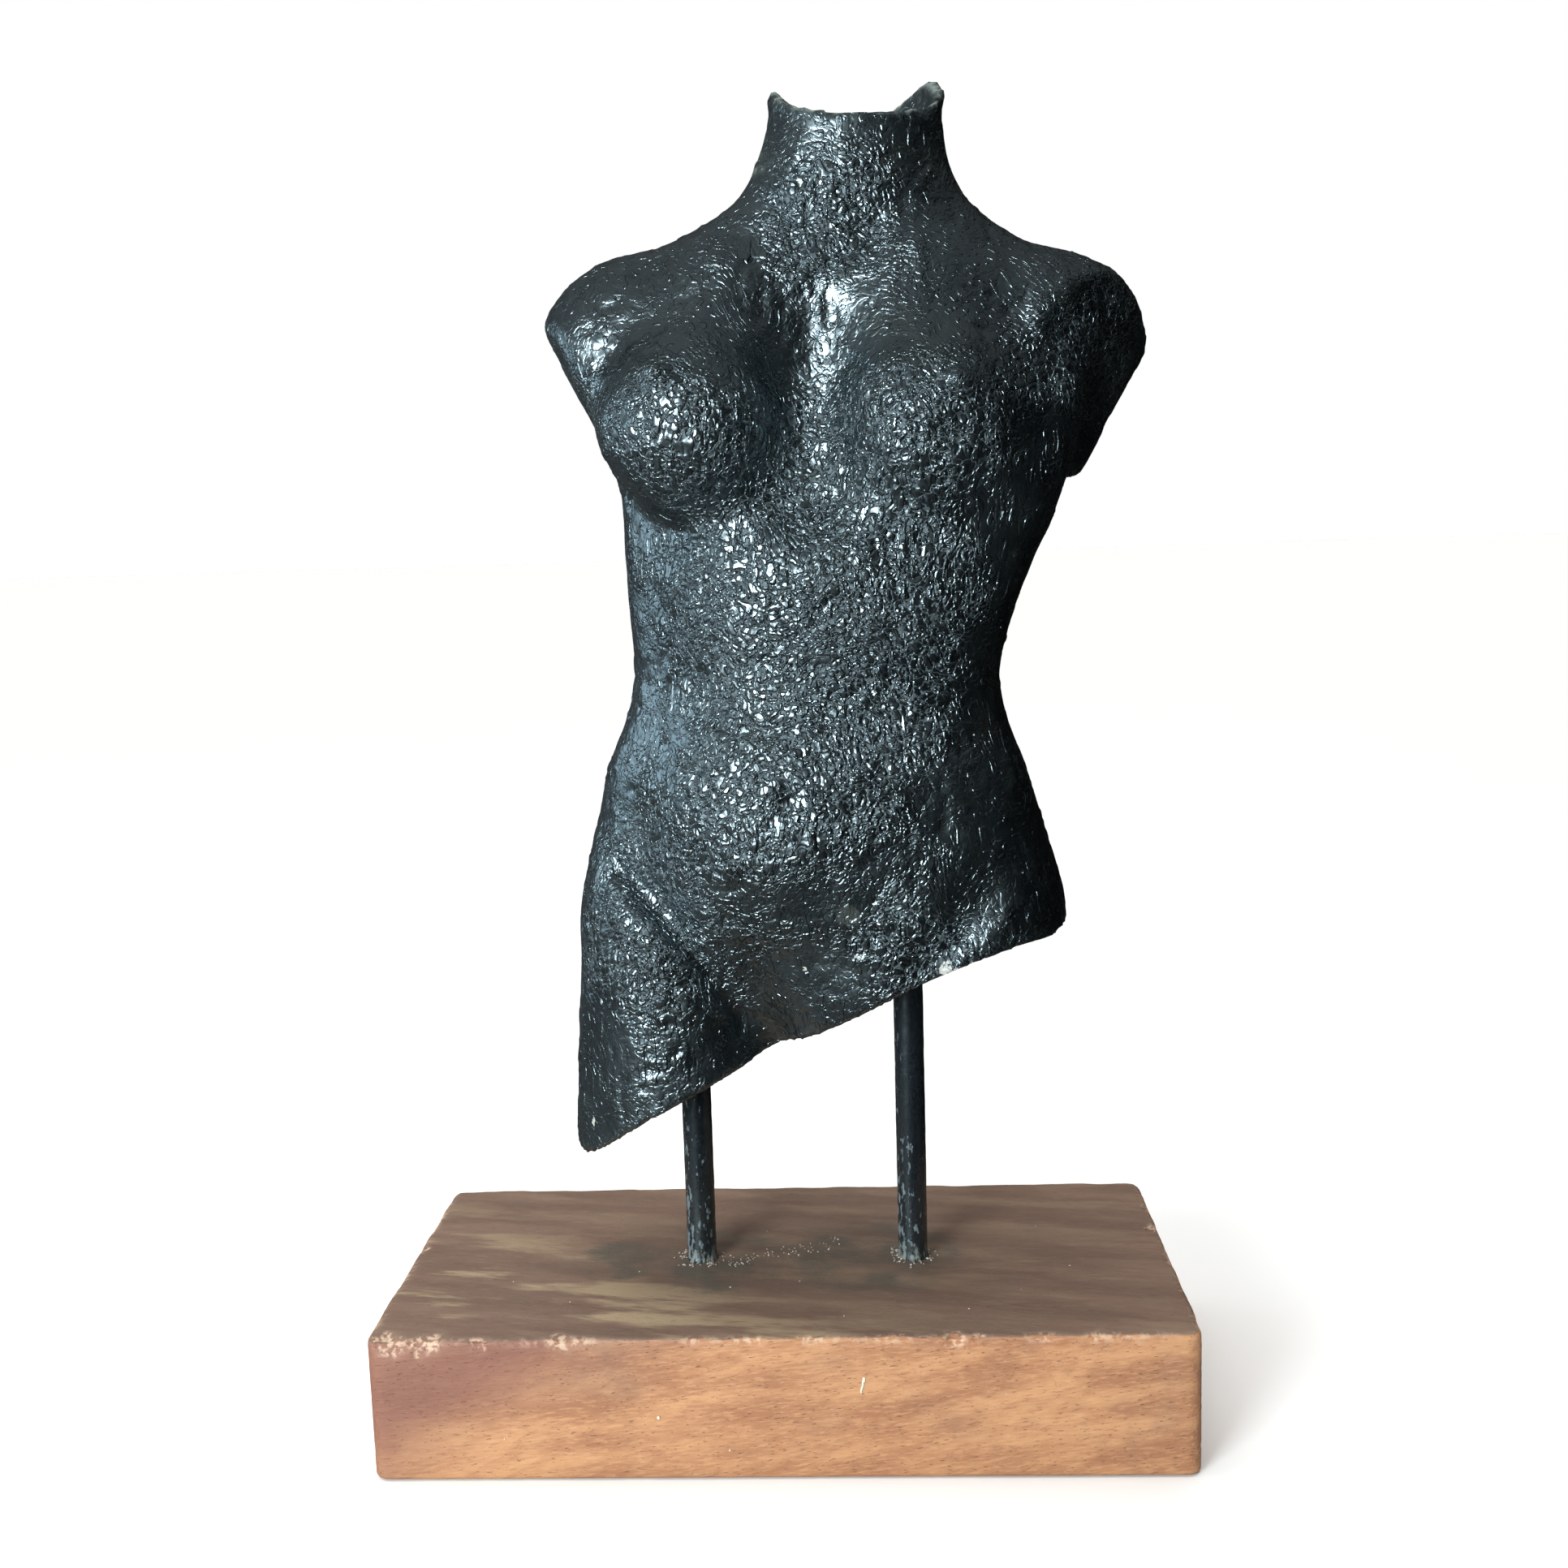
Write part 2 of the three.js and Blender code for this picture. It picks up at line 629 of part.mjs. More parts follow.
// A round bar, chamfered at both ends, from its seat in the plinth to its bore in the torso
function rodGeometry({ x, y, foot, head }) {
  const radius = ROD_DIAMETER / 2;
  const length = head - foot;
  const profile = [
    [0, 0], [radius - ROD_END_CHAMFER, 0], [radius, ROD_END_CHAMFER],
    [radius, length - ROD_END_CHAMFER], [radius - ROD_END_CHAMFER, length], [0, length],
  ].map(([r, h]) => new THREE.Vector2(r, h));
  const rod = new THREE.LatheGeometry(profile, ROD_SIDES);
  rod.rotateX(Math.PI / 2);
  rod.translate(x, y, foot);
  return rod;
}

// A solid block of wood with rounded corners and softened edges, and a blind hole for each rod
function plinthGeometry() {
  const rounding = PLINTH_EDGE_ROUNDING;
  const x = PLINTH_WIDTH / 2 - rounding;
  const y = PLINTH_DEPTH / 2 - rounding;
  const r = PLINTH_CORNER_RADIUS - rounding;
  const outline = new THREE.Shape();
  outline.moveTo(-x + r, -y);
  outline.lineTo(x - r, -y);
  outline.absarc(x - r, -y + r, r, -Math.PI / 2, 0);
  outline.lineTo(x, y - r);
  outline.absarc(x - r, y - r, r, 0, Math.PI / 2);
  outline.lineTo(-x + r, y);
  outline.absarc(-x + r, y - r, r, Math.PI / 2, Math.PI);
  outline.lineTo(-x, -y + r);
  outline.absarc(-x + r, -y + r, r, Math.PI, 1.5 * Math.PI);
  const block = new THREE.ExtrudeGeometry(outline, {
    depth: PLINTH_HEIGHT - 2 * rounding,
    bevelThickness: rounding,
    bevelSize: rounding,
    bevelSegments: 2,
    curveSegments: 4,
  });
  block.translate(0, 0, rounding);
  let plinth = solidFromGeometry(block);
  for (const rod of rodPlaces) {
    plinth = plinth.subtract(boreSolid(rod, rod.foot - FIT_CLEARANCE, PLINTH_HEIGHT + CUT_THROUGH));
  }
  return geometryFromSolid(plinth);
}

function piece(name, geometry, finish) {
  const mesh = new THREE.Mesh(geometry, new THREE.MeshStandardMaterial(finish));
  mesh.name = name;
  return mesh;
}

const sculpture = new THREE.Group();
sculpture.add(piece('torso', torsoGeometry(), GLAZE));
sculpture.add(piece('rod_left', rodGeometry(rodPlaces[0]), BLACK_STEEL));
sculpture.add(piece('rod_right', rodGeometry(rodPlaces[1]), BLACK_STEEL));
sculpture.add(piece('plinth', plinthGeometry(), BROWN_WOOD));

export default sculpture;
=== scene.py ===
# %% [markdown]
# A black ceramic torso on two steel rods and a wooden plinth.
# The lesson dresses a fixed, simple model of the work. The solids give the true size and pose.
# Each step below makes one real thing: the hand-worked ceramic skin, the painted rods, the
# weathered block of wood, and the crumbs and paint flecks that the studio left on it.
# Everything is in metres, and millimetre sizes are written as a number times MM.

# %% Load the fixed model
import math

import bmesh
import bpy
import numpy as np
from mathutils import Matrix, Vector
from mathutils.kdtree import KDTree


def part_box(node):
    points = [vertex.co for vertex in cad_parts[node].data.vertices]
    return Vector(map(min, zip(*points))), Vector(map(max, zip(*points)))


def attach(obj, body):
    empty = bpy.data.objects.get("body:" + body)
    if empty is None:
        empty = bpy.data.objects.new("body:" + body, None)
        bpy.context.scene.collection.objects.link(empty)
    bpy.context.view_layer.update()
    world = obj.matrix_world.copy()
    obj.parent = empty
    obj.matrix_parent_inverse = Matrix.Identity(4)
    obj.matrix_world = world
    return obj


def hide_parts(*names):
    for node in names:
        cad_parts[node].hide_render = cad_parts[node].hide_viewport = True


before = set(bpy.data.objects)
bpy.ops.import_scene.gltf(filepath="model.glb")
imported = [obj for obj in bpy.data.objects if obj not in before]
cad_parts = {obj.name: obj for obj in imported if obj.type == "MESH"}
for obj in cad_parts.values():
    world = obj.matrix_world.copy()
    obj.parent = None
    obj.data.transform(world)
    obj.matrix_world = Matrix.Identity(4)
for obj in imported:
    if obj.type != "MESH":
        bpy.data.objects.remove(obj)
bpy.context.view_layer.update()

MM = 0.001

# %% [markdown]
# In Blender an object only gives a place to its data, such as a mesh or a light, and it shows once
# a collection holds it. These two helpers do that for every piece of the lesson.

# %% Helpers for objects
def placed(name, data):
    """A new object that shows the data in the scene."""
    piece = bpy.data.objects.new(name, data)
    bpy.context.scene.collection.objects.link(piece)
    return piece


def mesh_of(name, shape):
    """Turns a bmesh into a mesh and frees it."""
    mesh = bpy.data.meshes.new(name)
    shape.to_mesh(mesh)
    shape.free()
    return mesh

# %% [markdown]
# The camera stands where the photographer stood, a little right of the middle and level with
# the chest. Its focal length is given in pixels of the square picture, so the lens follows from
# the sensor width. Three small turns point it: to the side, down, and a slight roll.

# %% Camera
PICTURE_SIDE = 1932
FOCAL_LENGTH_PIXELS = 2103.1
SENSOR_WIDTH = 36.0
EYE = Vector((29.02, -563.16, 292.52)) * MM
TURN_LEFT = 0.04484
TILT = -0.14203
ROLL = 0.03006

camera_data = bpy.data.cameras.new("photo_camera")
camera_data.sensor_width = SENSOR_WIDTH
camera_data.lens = FOCAL_LENGTH_PIXELS * SENSOR_WIDTH / PICTURE_SIDE
camera_data.clip_start = 0.01
camera = placed("photo_camera", camera_data)
aim = Matrix.Rotation(TURN_LEFT, 3, "Z") @ Matrix.Rotation(TILT, 3, "X") @ Matrix.Rotation(ROLL, 3, "Y")
upright = Matrix.Rotation(math.pi / 2, 3, "X")
camera.matrix_world = Matrix.Translation(EYE) @ (aim @ upright).to_4x4()
bpy.context.scene.camera = camera
bpy.context.scene.view_settings.view_transform = "Standard"
print("lens", round(camera_data.lens, 2), "mm")

# %% [markdown]
# A node material is a small graph. These helpers keep each graph readable: `put` adds a node and
# fills its inputs, by a plain value or by a wire from another node. `maths`, `step` and `blend`
# cover the nodes that every finish here uses most: sums, soft thresholds and mixed colours.

# %% Helpers for materials
def new_material(name):
    """An empty material and its node tree, with the surface shader wired to the output."""
    material = bpy.data.materials.new(name)
    material.use_nodes = True
    tree = material.node_tree
    tree.nodes.clear()
    shader = tree.nodes.new("ShaderNodeBsdfPrincipled")
    output = tree.nodes.new("ShaderNodeOutputMaterial")
    tree.links.new(shader.outputs["BSDF"], output.inputs["Surface"])
    return material, tree, shader


def fill(tree, socket, value):
    """Wires a socket to the input, or sets the plain value."""
    if isinstance(value, bpy.types.NodeSocket):
        tree.links.new(value, socket)
    else:
        socket.default_value = value


def put(tree, kind, out, settings=None, **inputs):
    """Adds a node of that kind and returns its output named out."""
    node = tree.nodes.new("ShaderNode" + kind)
    for name, value in (settings or {}).items():
        setattr(node, name, value)
    for name, value in inputs.items():
        fill(tree, node.inputs[name.replace("_", " ")], value)
    return node.outputs[out]


def maths(tree, operation, first, second=0.0, third=0.0):
    node = tree.nodes.new("ShaderNodeMath")
    node.operation = operation
    for socket, value in zip(node.inputs, (first, second, third)):
        fill(tree, socket, value)
    return node.outputs[0]


def vector_maths(tree, operation, first, second):
    node = tree.nodes.new("ShaderNodeVectorMath")
    node.operation = operation
    fill(tree, node.inputs[0], first)
    fill(tree, node.inputs[1], second)
    return node.outputs[1 if operation in ("DISTANCE", "DOT_PRODUCT") else 0]


def step(tree, value, low, high):
    """0 below low, 1 above high, smooth between, and the other way round if low is above high."""
    node = tree.nodes.new("ShaderNodeMapRange")
    node.interpolation_type = "SMOOTHSTEP"
    settings = (value, min(low, high), max(low, high), float(low > high), float(low < high))
    for socket, number in zip(node.inputs, settings):
        fill(tree, socket, number)
    return node.outputs[0]


def blend(tree, amount, first, second):
    """Mixes two colours, amount 0 gives the first."""
    node = tree.nodes.new("ShaderNodeMix")
    node.data_type = "RGBA"
    colours = [s for s in node.inputs if s.type == "RGBA"]
    fill(tree, node.inputs[0], amount)
    for socket, value in zip(colours, (first, second)):
        fill(tree, socket, value if isinstance(value, bpy.types.NodeSocket) else (*value, 1.0))
    return next(s for s in node.outputs if s.type == "RGBA")


def noise(tree, place, scale, detail=2.0, roughness=0.5, distortion=0.0):
    return put(tree, "TexNoise", 0, Vector=place, Scale=scale, Detail=detail,
               Roughness=roughness, Distortion=distortion)


def bump(tree, height, depth, below=None):
    """Turns a height from 0 to 1 into a relief of that depth in metres, over the relief below it."""
    inputs = {"Height": height, "Distance": depth, "Strength": 1.0}
    if below is not None:
        inputs["Normal"] = below
    return put(tree, "Bump", "Normal", **inputs)


# %% [markdown]
# The finest detail in mesh comes from noise: random numbers on a lattice of whole-numbered
# corners, blended smoothly in between. It runs on all points of a mesh at once, and the same
# seed always gives the same clay.

# %% Noise for mesh work
def lattice_value(corner, seed):
    """A fixed random number from -1 to 1 for each whole-numbered corner."""
    x, y, z = (corner[:, k].astype(np.uint32) for k in range(3))
    mixed = x * np.uint32(374761393) ^ y * np.uint32(668265263) ^ z * np.uint32(2147483647)
    mixed = mixed ^ np.uint32(seed * 7919 + 17)
    mixed = (mixed ^ (mixed >> np.uint32(13))) * np.uint32(1274126177)
    mixed = (mixed ^ (mixed >> np.uint32(16))) * np.uint32(2246822519)
    return (mixed ^ (mixed >> np.uint32(15))).astype(float) / 2**31 - 1.0


def smooth_noise(points, seed):
    """Smooth noise from about -1 to 1 at each point, with features about one unit wide."""
    base = np.floor(points).astype(np.int64)
    share = points - base
    share = share * share * share * (share * (share * 6 - 15) + 10)
    total = np.zeros(len(points))
    for dx in (0, 1):
        for dy in (0, 1):
            for dz in (0, 1):
                step_to = np.array((dx, dy, dz))
                weight = np.prod(np.where(step_to, share, 1 - share), axis=1)
                total += weight * lattice_value(base + step_to, seed)
    return total


def smoothstep(values, low, high):
    t = np.clip((values - low) / (high - low), 0, 1)
    return t * t * (3 - 2 * t)


print("noise at three points", smooth_noise(np.array([[0.5, 0.5, 0.5], [1.2, 3.4, 5.6], [9.9, 8.8, 7.7]]), 1))

# %% [markdown]
# The torso is one hand-built ceramic form. The solid gives its pose and its breaks, but its facets
# are several millimetres wide. A voxel remesh lays an even net of small squares over the same
# form. The net is then relaxed where the form is round, and left alone near the sharp rims of the
# breaks, so that they stay crisp.

# %% A fine net over the torso
TORSO_CELL = 1.42 * MM
MERGE_DISTANCE = 0.01 * MM
SHARP_ANGLE = math.radians(40)
RIM_REACH = (1.5 * MM, 6.0 * MM)
RELAX_ROUNDS = 36


def node_shape(name):
    """A node's mesh as a bmesh, with the corners of touching faces merged."""
    shape = bmesh.new()
    shape.from_mesh(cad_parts[name].data)
    bmesh.ops.remove_doubles(shape, verts=shape.verts, dist=MERGE_DISTANCE)
    return shape


def sharp_rims(shape):
    """Points every millimetre or so along the edges where the form turns sharply."""
    found = []
    for edge in shape.edges:
        if edge.calc_face_angle(0.0) > SHARP_ANGLE:
            a, b = (v.co for v in edge.verts)
            pieces = max(1, int((b - a).length / MM))
            found += [a.lerp(b, k / pieces) for k in range(pieces + 1)]
    return found


def fine_net(name, shape, cell):
    """A new object whose mesh is an even net over the shape."""
    piece = placed(name, mesh_of(name, shape))
    remesh = piece.modifiers.new("net", "REMESH")
    remesh.mode = "VOXEL"
    remesh.voxel_size = cell
    depsgraph = bpy.context.evaluated_depsgraph_get()
    netted = bpy.data.meshes.new_from_object(piece.evaluated_get(depsgraph))
    piece.modifiers.clear()
    piece.data = netted
    return piece


def corners_of(mesh):
    flat = np.zeros(len(mesh.vertices) * 3)
    mesh.vertices.foreach_get("co", flat)
    return flat.reshape(-1, 3)


def normals_of(mesh):
    flat = np.zeros(len(mesh.vertices) * 3)
    mesh.vertex_normals.foreach_get("vector", flat)
    return flat.reshape(-1, 3)


def set_corners(mesh, corners):
    mesh.vertices.foreach_set("co", corners.ravel())
    mesh.update()


def edges_of(mesh):
    flat = np.zeros(len(mesh.edges) * 2, dtype=np.int64)
    mesh.edges.foreach_get("vertices", flat)
    return flat.reshape(-1, 2)


def neighbour_mean(values, edges):
    """Each vertex's mean over its neighbours, for numbers or for points."""
    count = np.bincount(edges.ravel(), minlength=len(values)).astype(float)
    columns = values.reshape(len(values), -1)
    total = np.stack([
        np.bincount(edges[:, 0], weights=column[edges[:, 1]], minlength=len(values))
        + np.bincount(edges[:, 1], weights=column[edges[:, 0]], minlength=len(values))
        for column in columns.T
    ], axis=1)
    return (total / count[:, None]).reshape(values.shape)


def relax(mesh, softness, rounds):
    """Evens out facets in pairs of steps, one in and one out, so that the form doesn't shrink."""
    corners, edges = corners_of(mesh), edges_of(mesh)
    for _ in range(rounds):
        for push in (0.6, -0.62):
            corners += push * softness[:, None] * (neighbour_mean(corners, edges) - corners)
    set_corners(mesh, corners)


torso_shape = node_shape("torso")
rim_points = sharp_rims(torso_shape)
rim_tree = KDTree(len(rim_points))
for index, point in enumerate(rim_points):
    rim_tree.insert(point, index)
rim_tree.balance()
torso = fine_net("ceramic_torso", torso_shape, TORSO_CELL)
rim_distance = np.array([rim_tree.find(v.co)[2] for v in torso.data.vertices])
relax(torso.data, 0.08 + 0.92 * smoothstep(rim_distance, *RIM_REACH), RELAX_ROUNDS)
print("torso net", len(torso.data.vertices), "corners,", 2 * len(torso.data.polygons), "triangles")

# %% [markdown]
# Some forms are finished one by one on the fine net. The left groin is a single soft crease between the
# standing pelvis and the thigh, so the folds there are rubbed out first and one groove is pressed in along a
# path. The top of the breastbone is rubbed a little flatter too. The peaks of the broken neck are blunt, so
# clay is added on both of their sides. A small lump is laid on each breast.

# %% The groin's crease, the breasts and the blunt neck
GROIN_MIDDLE = (-16.0, -28.0, 140.0)
GROIN_REACH = (30.0, 17.0)
BREASTBONE_TOP = (22.5, -23.1, 366.1)
BREASTBONE_REACH = (34.0, 16.0)
GROIN_CREASE = [(-50.0, -19.0, 188.0), (-34.5, -27.0, 173.4), (-24.4, -29.2, 159.0), (-13.5, -23.8, 142.5),
                (-5.0, -24.0, 128.0)]
CREASE_DEPTH, CREASE_WIDTH = 2.7, 3.2
RUB_SHARE, RUB_ROUNDS = 0.6, 90
BREAST_TIPS = [(-28.9, -50.1, 342.9), (60.4, -47.2, 338.1)]
TIP_HEIGHT, TIP_WIDTH = 1.7, 3.0
NECK_TOP_LEVELS = (424.0, 431.0)
NECK_THICKER = 1.0


def distance_to_path(points, path):
    """Each point's distance to a line of straight pieces."""
    nearest = np.full(len(points), 1e9)
    for start, end in zip(np.array(path[:-1]), np.array(path[1:])):
        along = end - start
        share = np.clip((points - start) @ along / (along @ along), 0, 1)
        nearest = np.minimum(nearest, np.linalg.norm(points - start - share[:, None] * along, axis=1))
    return nearest


def rubbed_out(corners, edges, amount, rounds):
    """Moves corners towards their neighbours, which fills hollows and lowers backs."""
    for _ in range(rounds):
        corners = corners + RUB_SHARE * amount[:, None] * (neighbour_mean(corners, edges) - corners)
    return corners


formed = corners_of(torso.data) / MM
in_groin = np.linalg.norm(formed - np.array(GROIN_MIDDLE), axis=1)
in_groin = 1 - smoothstep(in_groin, GROIN_REACH[1], GROIN_REACH[0])
in_groin *= smoothstep(rim_distance / MM, 2.0, 8.0)
on_bone = np.linalg.norm(formed - np.array(BREASTBONE_TOP), axis=1)
on_bone = 1 - smoothstep(on_bone, BREASTBONE_REACH[1], BREASTBONE_REACH[0])
formed = rubbed_out(formed, edges_of(torso.data), np.maximum(in_groin, on_bone), RUB_ROUNDS)
set_corners(torso.data, formed * MM)
crease = CREASE_DEPTH * np.exp(-((distance_to_path(formed, GROIN_CREASE) / CREASE_WIDTH) ** 2))
neck_clay = NECK_THICKER * smoothstep(formed[:, 2], *NECK_TOP_LEVELS)
from_tips = [np.linalg.norm(formed - np.array(tip), axis=1) for tip in BREAST_TIPS]
tips = sum(np.exp(-((away / TIP_WIDTH) ** 2)) for away in from_tips)
formed += (neck_clay + TIP_HEIGHT * tips - crease)[:, None] * normals_of(torso.data)
set_corners(torso.data, formed * MM)
print("groin rubbed at", int((in_groin > 0.5).sum()), "corners, crease up to", round(crease.max(), 2), "mm")

# %% [markdown]
# The skin was drawn over with a tool and fingers, so its wrinkles follow flows: round the breasts
# and the belly, and up and down between them. One number per corner describes the flow. It rises
# across the wrinkles and stays level along them, like the height lines of a map. Adding a large
# share of it to the place where noise is read squeezes the noise across the flow and leaves it
# long along the flow. The number is also kept on the mesh, for the finer wrinkles of the shader.

# %% The flow of the wrinkles
FLOW_CENTRES = [
    # place in mm, reach in mm
    ((-28, -50, 335), 34),
    ((50, -50, 328), 34),
    ((4, -45, 222), 42),
    ((-43, -31, 158), 40),
    ((26, -42, 178), 30),
    ((52, -36, 138), 30),
    ((-10, 45, 175), 48),
    ((55, 40, 170), 44),
    ((-20, 30, 330), 46),
    ((62, 30, 318), 44),
]
STRAIGHT_SHARE = 0.14
STRAIGHT_DIRECTION = np.array([0.93, 0.25, 0.28])


def flow_number(points):
    """The flow number, in millimetres, at each point in millimetres."""
    total = STRAIGHT_SHARE * (points @ STRAIGHT_DIRECTION)
    weights = np.full(len(points), STRAIGHT_SHARE)
    for centre, reach in FLOW_CENTRES:
        away = np.linalg.norm(points - np.array(centre), axis=1)
        weight = np.exp(-((away / reach) ** 2))
        total += weight * away
        weights += weight
    return 0.6 * total / weights + 13.0 * smooth_noise(points / 15, 11) + 6.0 * smooth_noise(points / 7, 12)


def along_flow(points, flow, width, length):
    """Where to read noise so that its features are that wide across the flow and that long along it."""
    place = points / length
    place[:, 2] += flow / width
    return place


torso_points = corners_of(torso.data) / MM
torso_flow = flow_number(torso_points)
print("flow runs from", round(torso_flow.min(), 1), "to", round(torso_flow.max(), 1))

# %% [markdown]
# Some places were worked far more than others. The breastbone, the belly, the lower breasts and
# the front of the thigh are covered with wrinkles, while the upper chest and the flanks were
# smoothed with a wet hand and only carry stray strokes. A second number, `worked`, runs from 0 to
# 1 to say so.

# %% Where the skin is densely wrinkled
WORKED_CENTRES = [
    # place in mm, reach in mm
    ((16, -30, 308), 30),
    ((-2, -38, 282), 34),
    ((28, -38, 270), 36),
    ((5, -45, 226), 36),
    ((54, -47, 326), 22),
    ((-30, -48, 330), 20),
    ((18, -20, 392), 22),
    ((-42, -31, 168), 30),
    ((50, -38, 160), 20),
    ((104, -8, 345), 26),
    ((-58, -12, 335), 16),
    ((10, 45, 280), 50),
    ((-14, 50, 190), 40),
    ((60, 48, 170), 44),
    ((70, 30, 330), 34),
]


def worked_number(points):
    """0 where the skin is smooth, 1 where it is densely wrinkled."""
    total = np.zeros(len(points))
    for centre, reach in WORKED_CENTRES:
        away = np.linalg.norm(points - np.array(centre), axis=1)
        total += np.exp(-((away / reach) ** 2))
    total += 0.30 * smooth_noise(points / 13, 15) + 0.14 * smooth_noise(points / 5, 16)
    return smoothstep(total, 0.12, 0.75)


torso_worked = worked_number(torso_points)
print("densely wrinkled", round(100 * (torso_worked > 0.5).mean()), "% of the skin")

# %% [markdown]
# The relief itself is laid on in layers, all in millimetres along the surface's own direction.
# Daubs are overlapping pats of clay, each with its own small height, so that their edges show
# as fine curved cracks. Folds are the broad wrinkles, which narrow to a V between round backs.
# Strokes are short ridges and cuts that also cross the smooth places, and pits are where grit
# fell out.

# %% Relief of the torso
def daubs(points, size, seed):
    """Overlapping pats: the height of the nearest of some jittered centres, and how near its edge is."""
    base = np.floor(points / size).astype(np.int64)
    nearest = np.full(len(points), 9.0)
    second = np.full(len(points), 9.0)
    height = np.zeros(len(points))
    for dx in (-1, 0, 1):
        for dy in (-1, 0, 1):
            for dz in (-1, 0, 1):
                cell = base + np.array((dx, dy, dz))
                jitter = np.stack([lattice_value(cell, seed + k) for k in range(3)], axis=1)
                away = np.linalg.norm(points / size - (cell + 0.5 + 0.42 * jitter), axis=1)
                closer = away < nearest
                second = np.where(closer, nearest, np.minimum(second, away))
                height = np.where(closer, lattice_value(cell, seed + 9), height)
                nearest = np.where(closer, away, nearest)
    return height, second - nearest


def torso_relief(points, flow, worked, rim):
    """Height in millimetres at each corner."""
    warped = points + 1.8 * np.stack([smooth_noise(points / 4.5, 30 + k) for k in range(3)], axis=1)
    pat, edge = daubs(warped, 8.5, 40)
    height = 0.30 * smooth_noise(points / 17, 22)
    height += 0.10 * pat - 0.30 * (1 - smoothstep(edge, 0.0, 0.12)) * (0.15 + 0.85 * worked)
    folds = np.abs(smooth_noise(along_flow(warped, flow, 9.0, 4.6), 23))
    height += (0.06 + 0.44 * worked) * (np.minimum(folds * 4.2, 1.0) - 0.75)
    small = smooth_noise(warped / 2.9, 24)
    height += (0.03 + 0.11 * worked) * small
    strokes = smooth_noise(along_flow(warped, -flow, 6.5, 4.6), 25)
    height += 0.34 * smoothstep(strokes, 0.50, 0.74) - 0.50 * smoothstep(-strokes, 0.50, 0.74)
    cracks = np.abs(smooth_noise(along_flow(warped, flow, 24.0, 10.0), 28))
    height -= 0.60 * (1 - smoothstep(cracks, 0.0, 0.09)) * smoothstep(smooth_noise(points / 9, 29), 0.0, 0.35)
    pits = smooth_noise(points / 2.6, 26)
    height -= 0.60 * smoothstep(pits, 0.66, 0.86) * smoothstep(smooth_noise(points / 15, 27), -0.1, 0.4)
    return height * (0.35 + 0.65 * smoothstep(rim, 0.5, 3.0)) + 0.10


height = torso_relief(torso_points, torso_flow, torso_worked, rim_distance / MM)
torso_points += height[:, None] * normals_of(torso.data)
set_corners(torso.data, torso_points * MM)
print("relief from", round(height.min(), 2), "to", round(height.max(), 2), "mm")

# %% [markdown]
# Two more numbers go with each corner. `hollow` says how deep a corner lies in the relief; the shader uses it
# to darken the cracks, which is painted shade, and to lighten worn raised backs. `broken` marks the snapped
# rim of the neck, where the grey-green body shows through the black.

# %% Numbers kept on the torso's mesh
NECK_MIDDLE = np.array([29.0, 1.0])
NECK_BREAK_LEVEL = 404.0
NECK_REACH = 33.0
HOLLOW_ROUNDS = 6
HOLLOW_DEPTH = 0.35


def keep_number(mesh, name, values):
    layer = mesh.attributes.new(name, "FLOAT", "POINT")
    layer.data.foreach_set("value", values.astype(np.float32))


edges = edges_of(torso.data)
wide = torso_points
for _ in range(HOLLOW_ROUNDS):
    wide = neighbour_mean(wide, edges)
torso_normals = normals_of(torso.data)
hollow = np.clip(np.einsum("ij,ij->i", wide - torso_points, torso_normals) / HOLLOW_DEPTH, -1, 1)
from_neck = np.linalg.norm(torso_points[:, :2] - NECK_MIDDLE, axis=1)
broken = smoothstep(torso_points[:, 2], NECK_BREAK_LEVEL, NECK_BREAK_LEVEL + 3)
broken *= smoothstep(torso_normals[:, 2], 0.25, 0.7) * (1 - smoothstep(from_neck, NECK_REACH, NECK_REACH + 4))
keep_number(torso.data, "flow", torso_flow)
keep_number(torso.data, "worked", torso_worked)
keep_number(torso.data, "hollow", hollow)
keep_number(torso.data, "broken", broken)
torso.data.shade_smooth()
print("corners in hollows", int((hollow > 0.3).sum()), "and on the broken neck", int((broken > 0.5).sum()))

# %% [markdown]
# The paint on the ceramic is almost black, cool in tone, and glossy, so nearly all that shows is
# broken reflections. Its colour barely varies; the life is in the bump. Wrinkles about a millimetre
# apart follow the flow number, and finer grit lies over them. Pale grains and a plaster smear
# are tiny, but they give the black its scale.

# %% The black painted ceramic
def place_in(tree):
    return put(tree, "TexCoord", "Object")


def spots_near(tree, place, spots):
    """1 within each spot, given as a centre and a radius in millimetres, with a soft ragged edge."""
    ragged = maths(tree, "MULTIPLY", maths(tree, "SUBTRACT", noise(tree, place, 700.0), 0.5), 5 * MM)
    total = None
    for centre, radius in spots:
        away = vector_maths(tree, "DISTANCE", place, tuple(c * MM for c in centre))
        near = step(tree, maths(tree, "ADD", away, ragged), radius * MM, 0.75 * radius * MM)
        total = near if total is None else maths(tree, "MAXIMUM", total, near)
    return total


PLASTER_SPOTS = [((54.5, -40.0, 157.5), 2.6), ((57.5, -39.0, 156.0), 2.2), ((51.5, -40.5, 158.5), 1.6)]
PALE_SPOTS = [((10.5, -35.5, 157), 0.9), ((-61.8, -19.5, 102.5), 1.0), ((27.4, -41, 162.5), 0.9)]
GREENISH_SPOTS = [((24.4, -43.0, 176), 4.2)]
# The index and tint are matched to the photo's shine. A real glaze measures about 1.5.
GLAZE_IOR = 2.9
GLAZE_TINT = (0.74, 0.93, 1.0, 1.0)
RIDGE_RELIEF, PAD_RELIEF, CURL_RELIEF = 0.30 * MM, 0.42 * MM, 0.30 * MM
DASH_RELIEF, GRIT_RELIEF = 0.26 * MM, 0.012 * MM


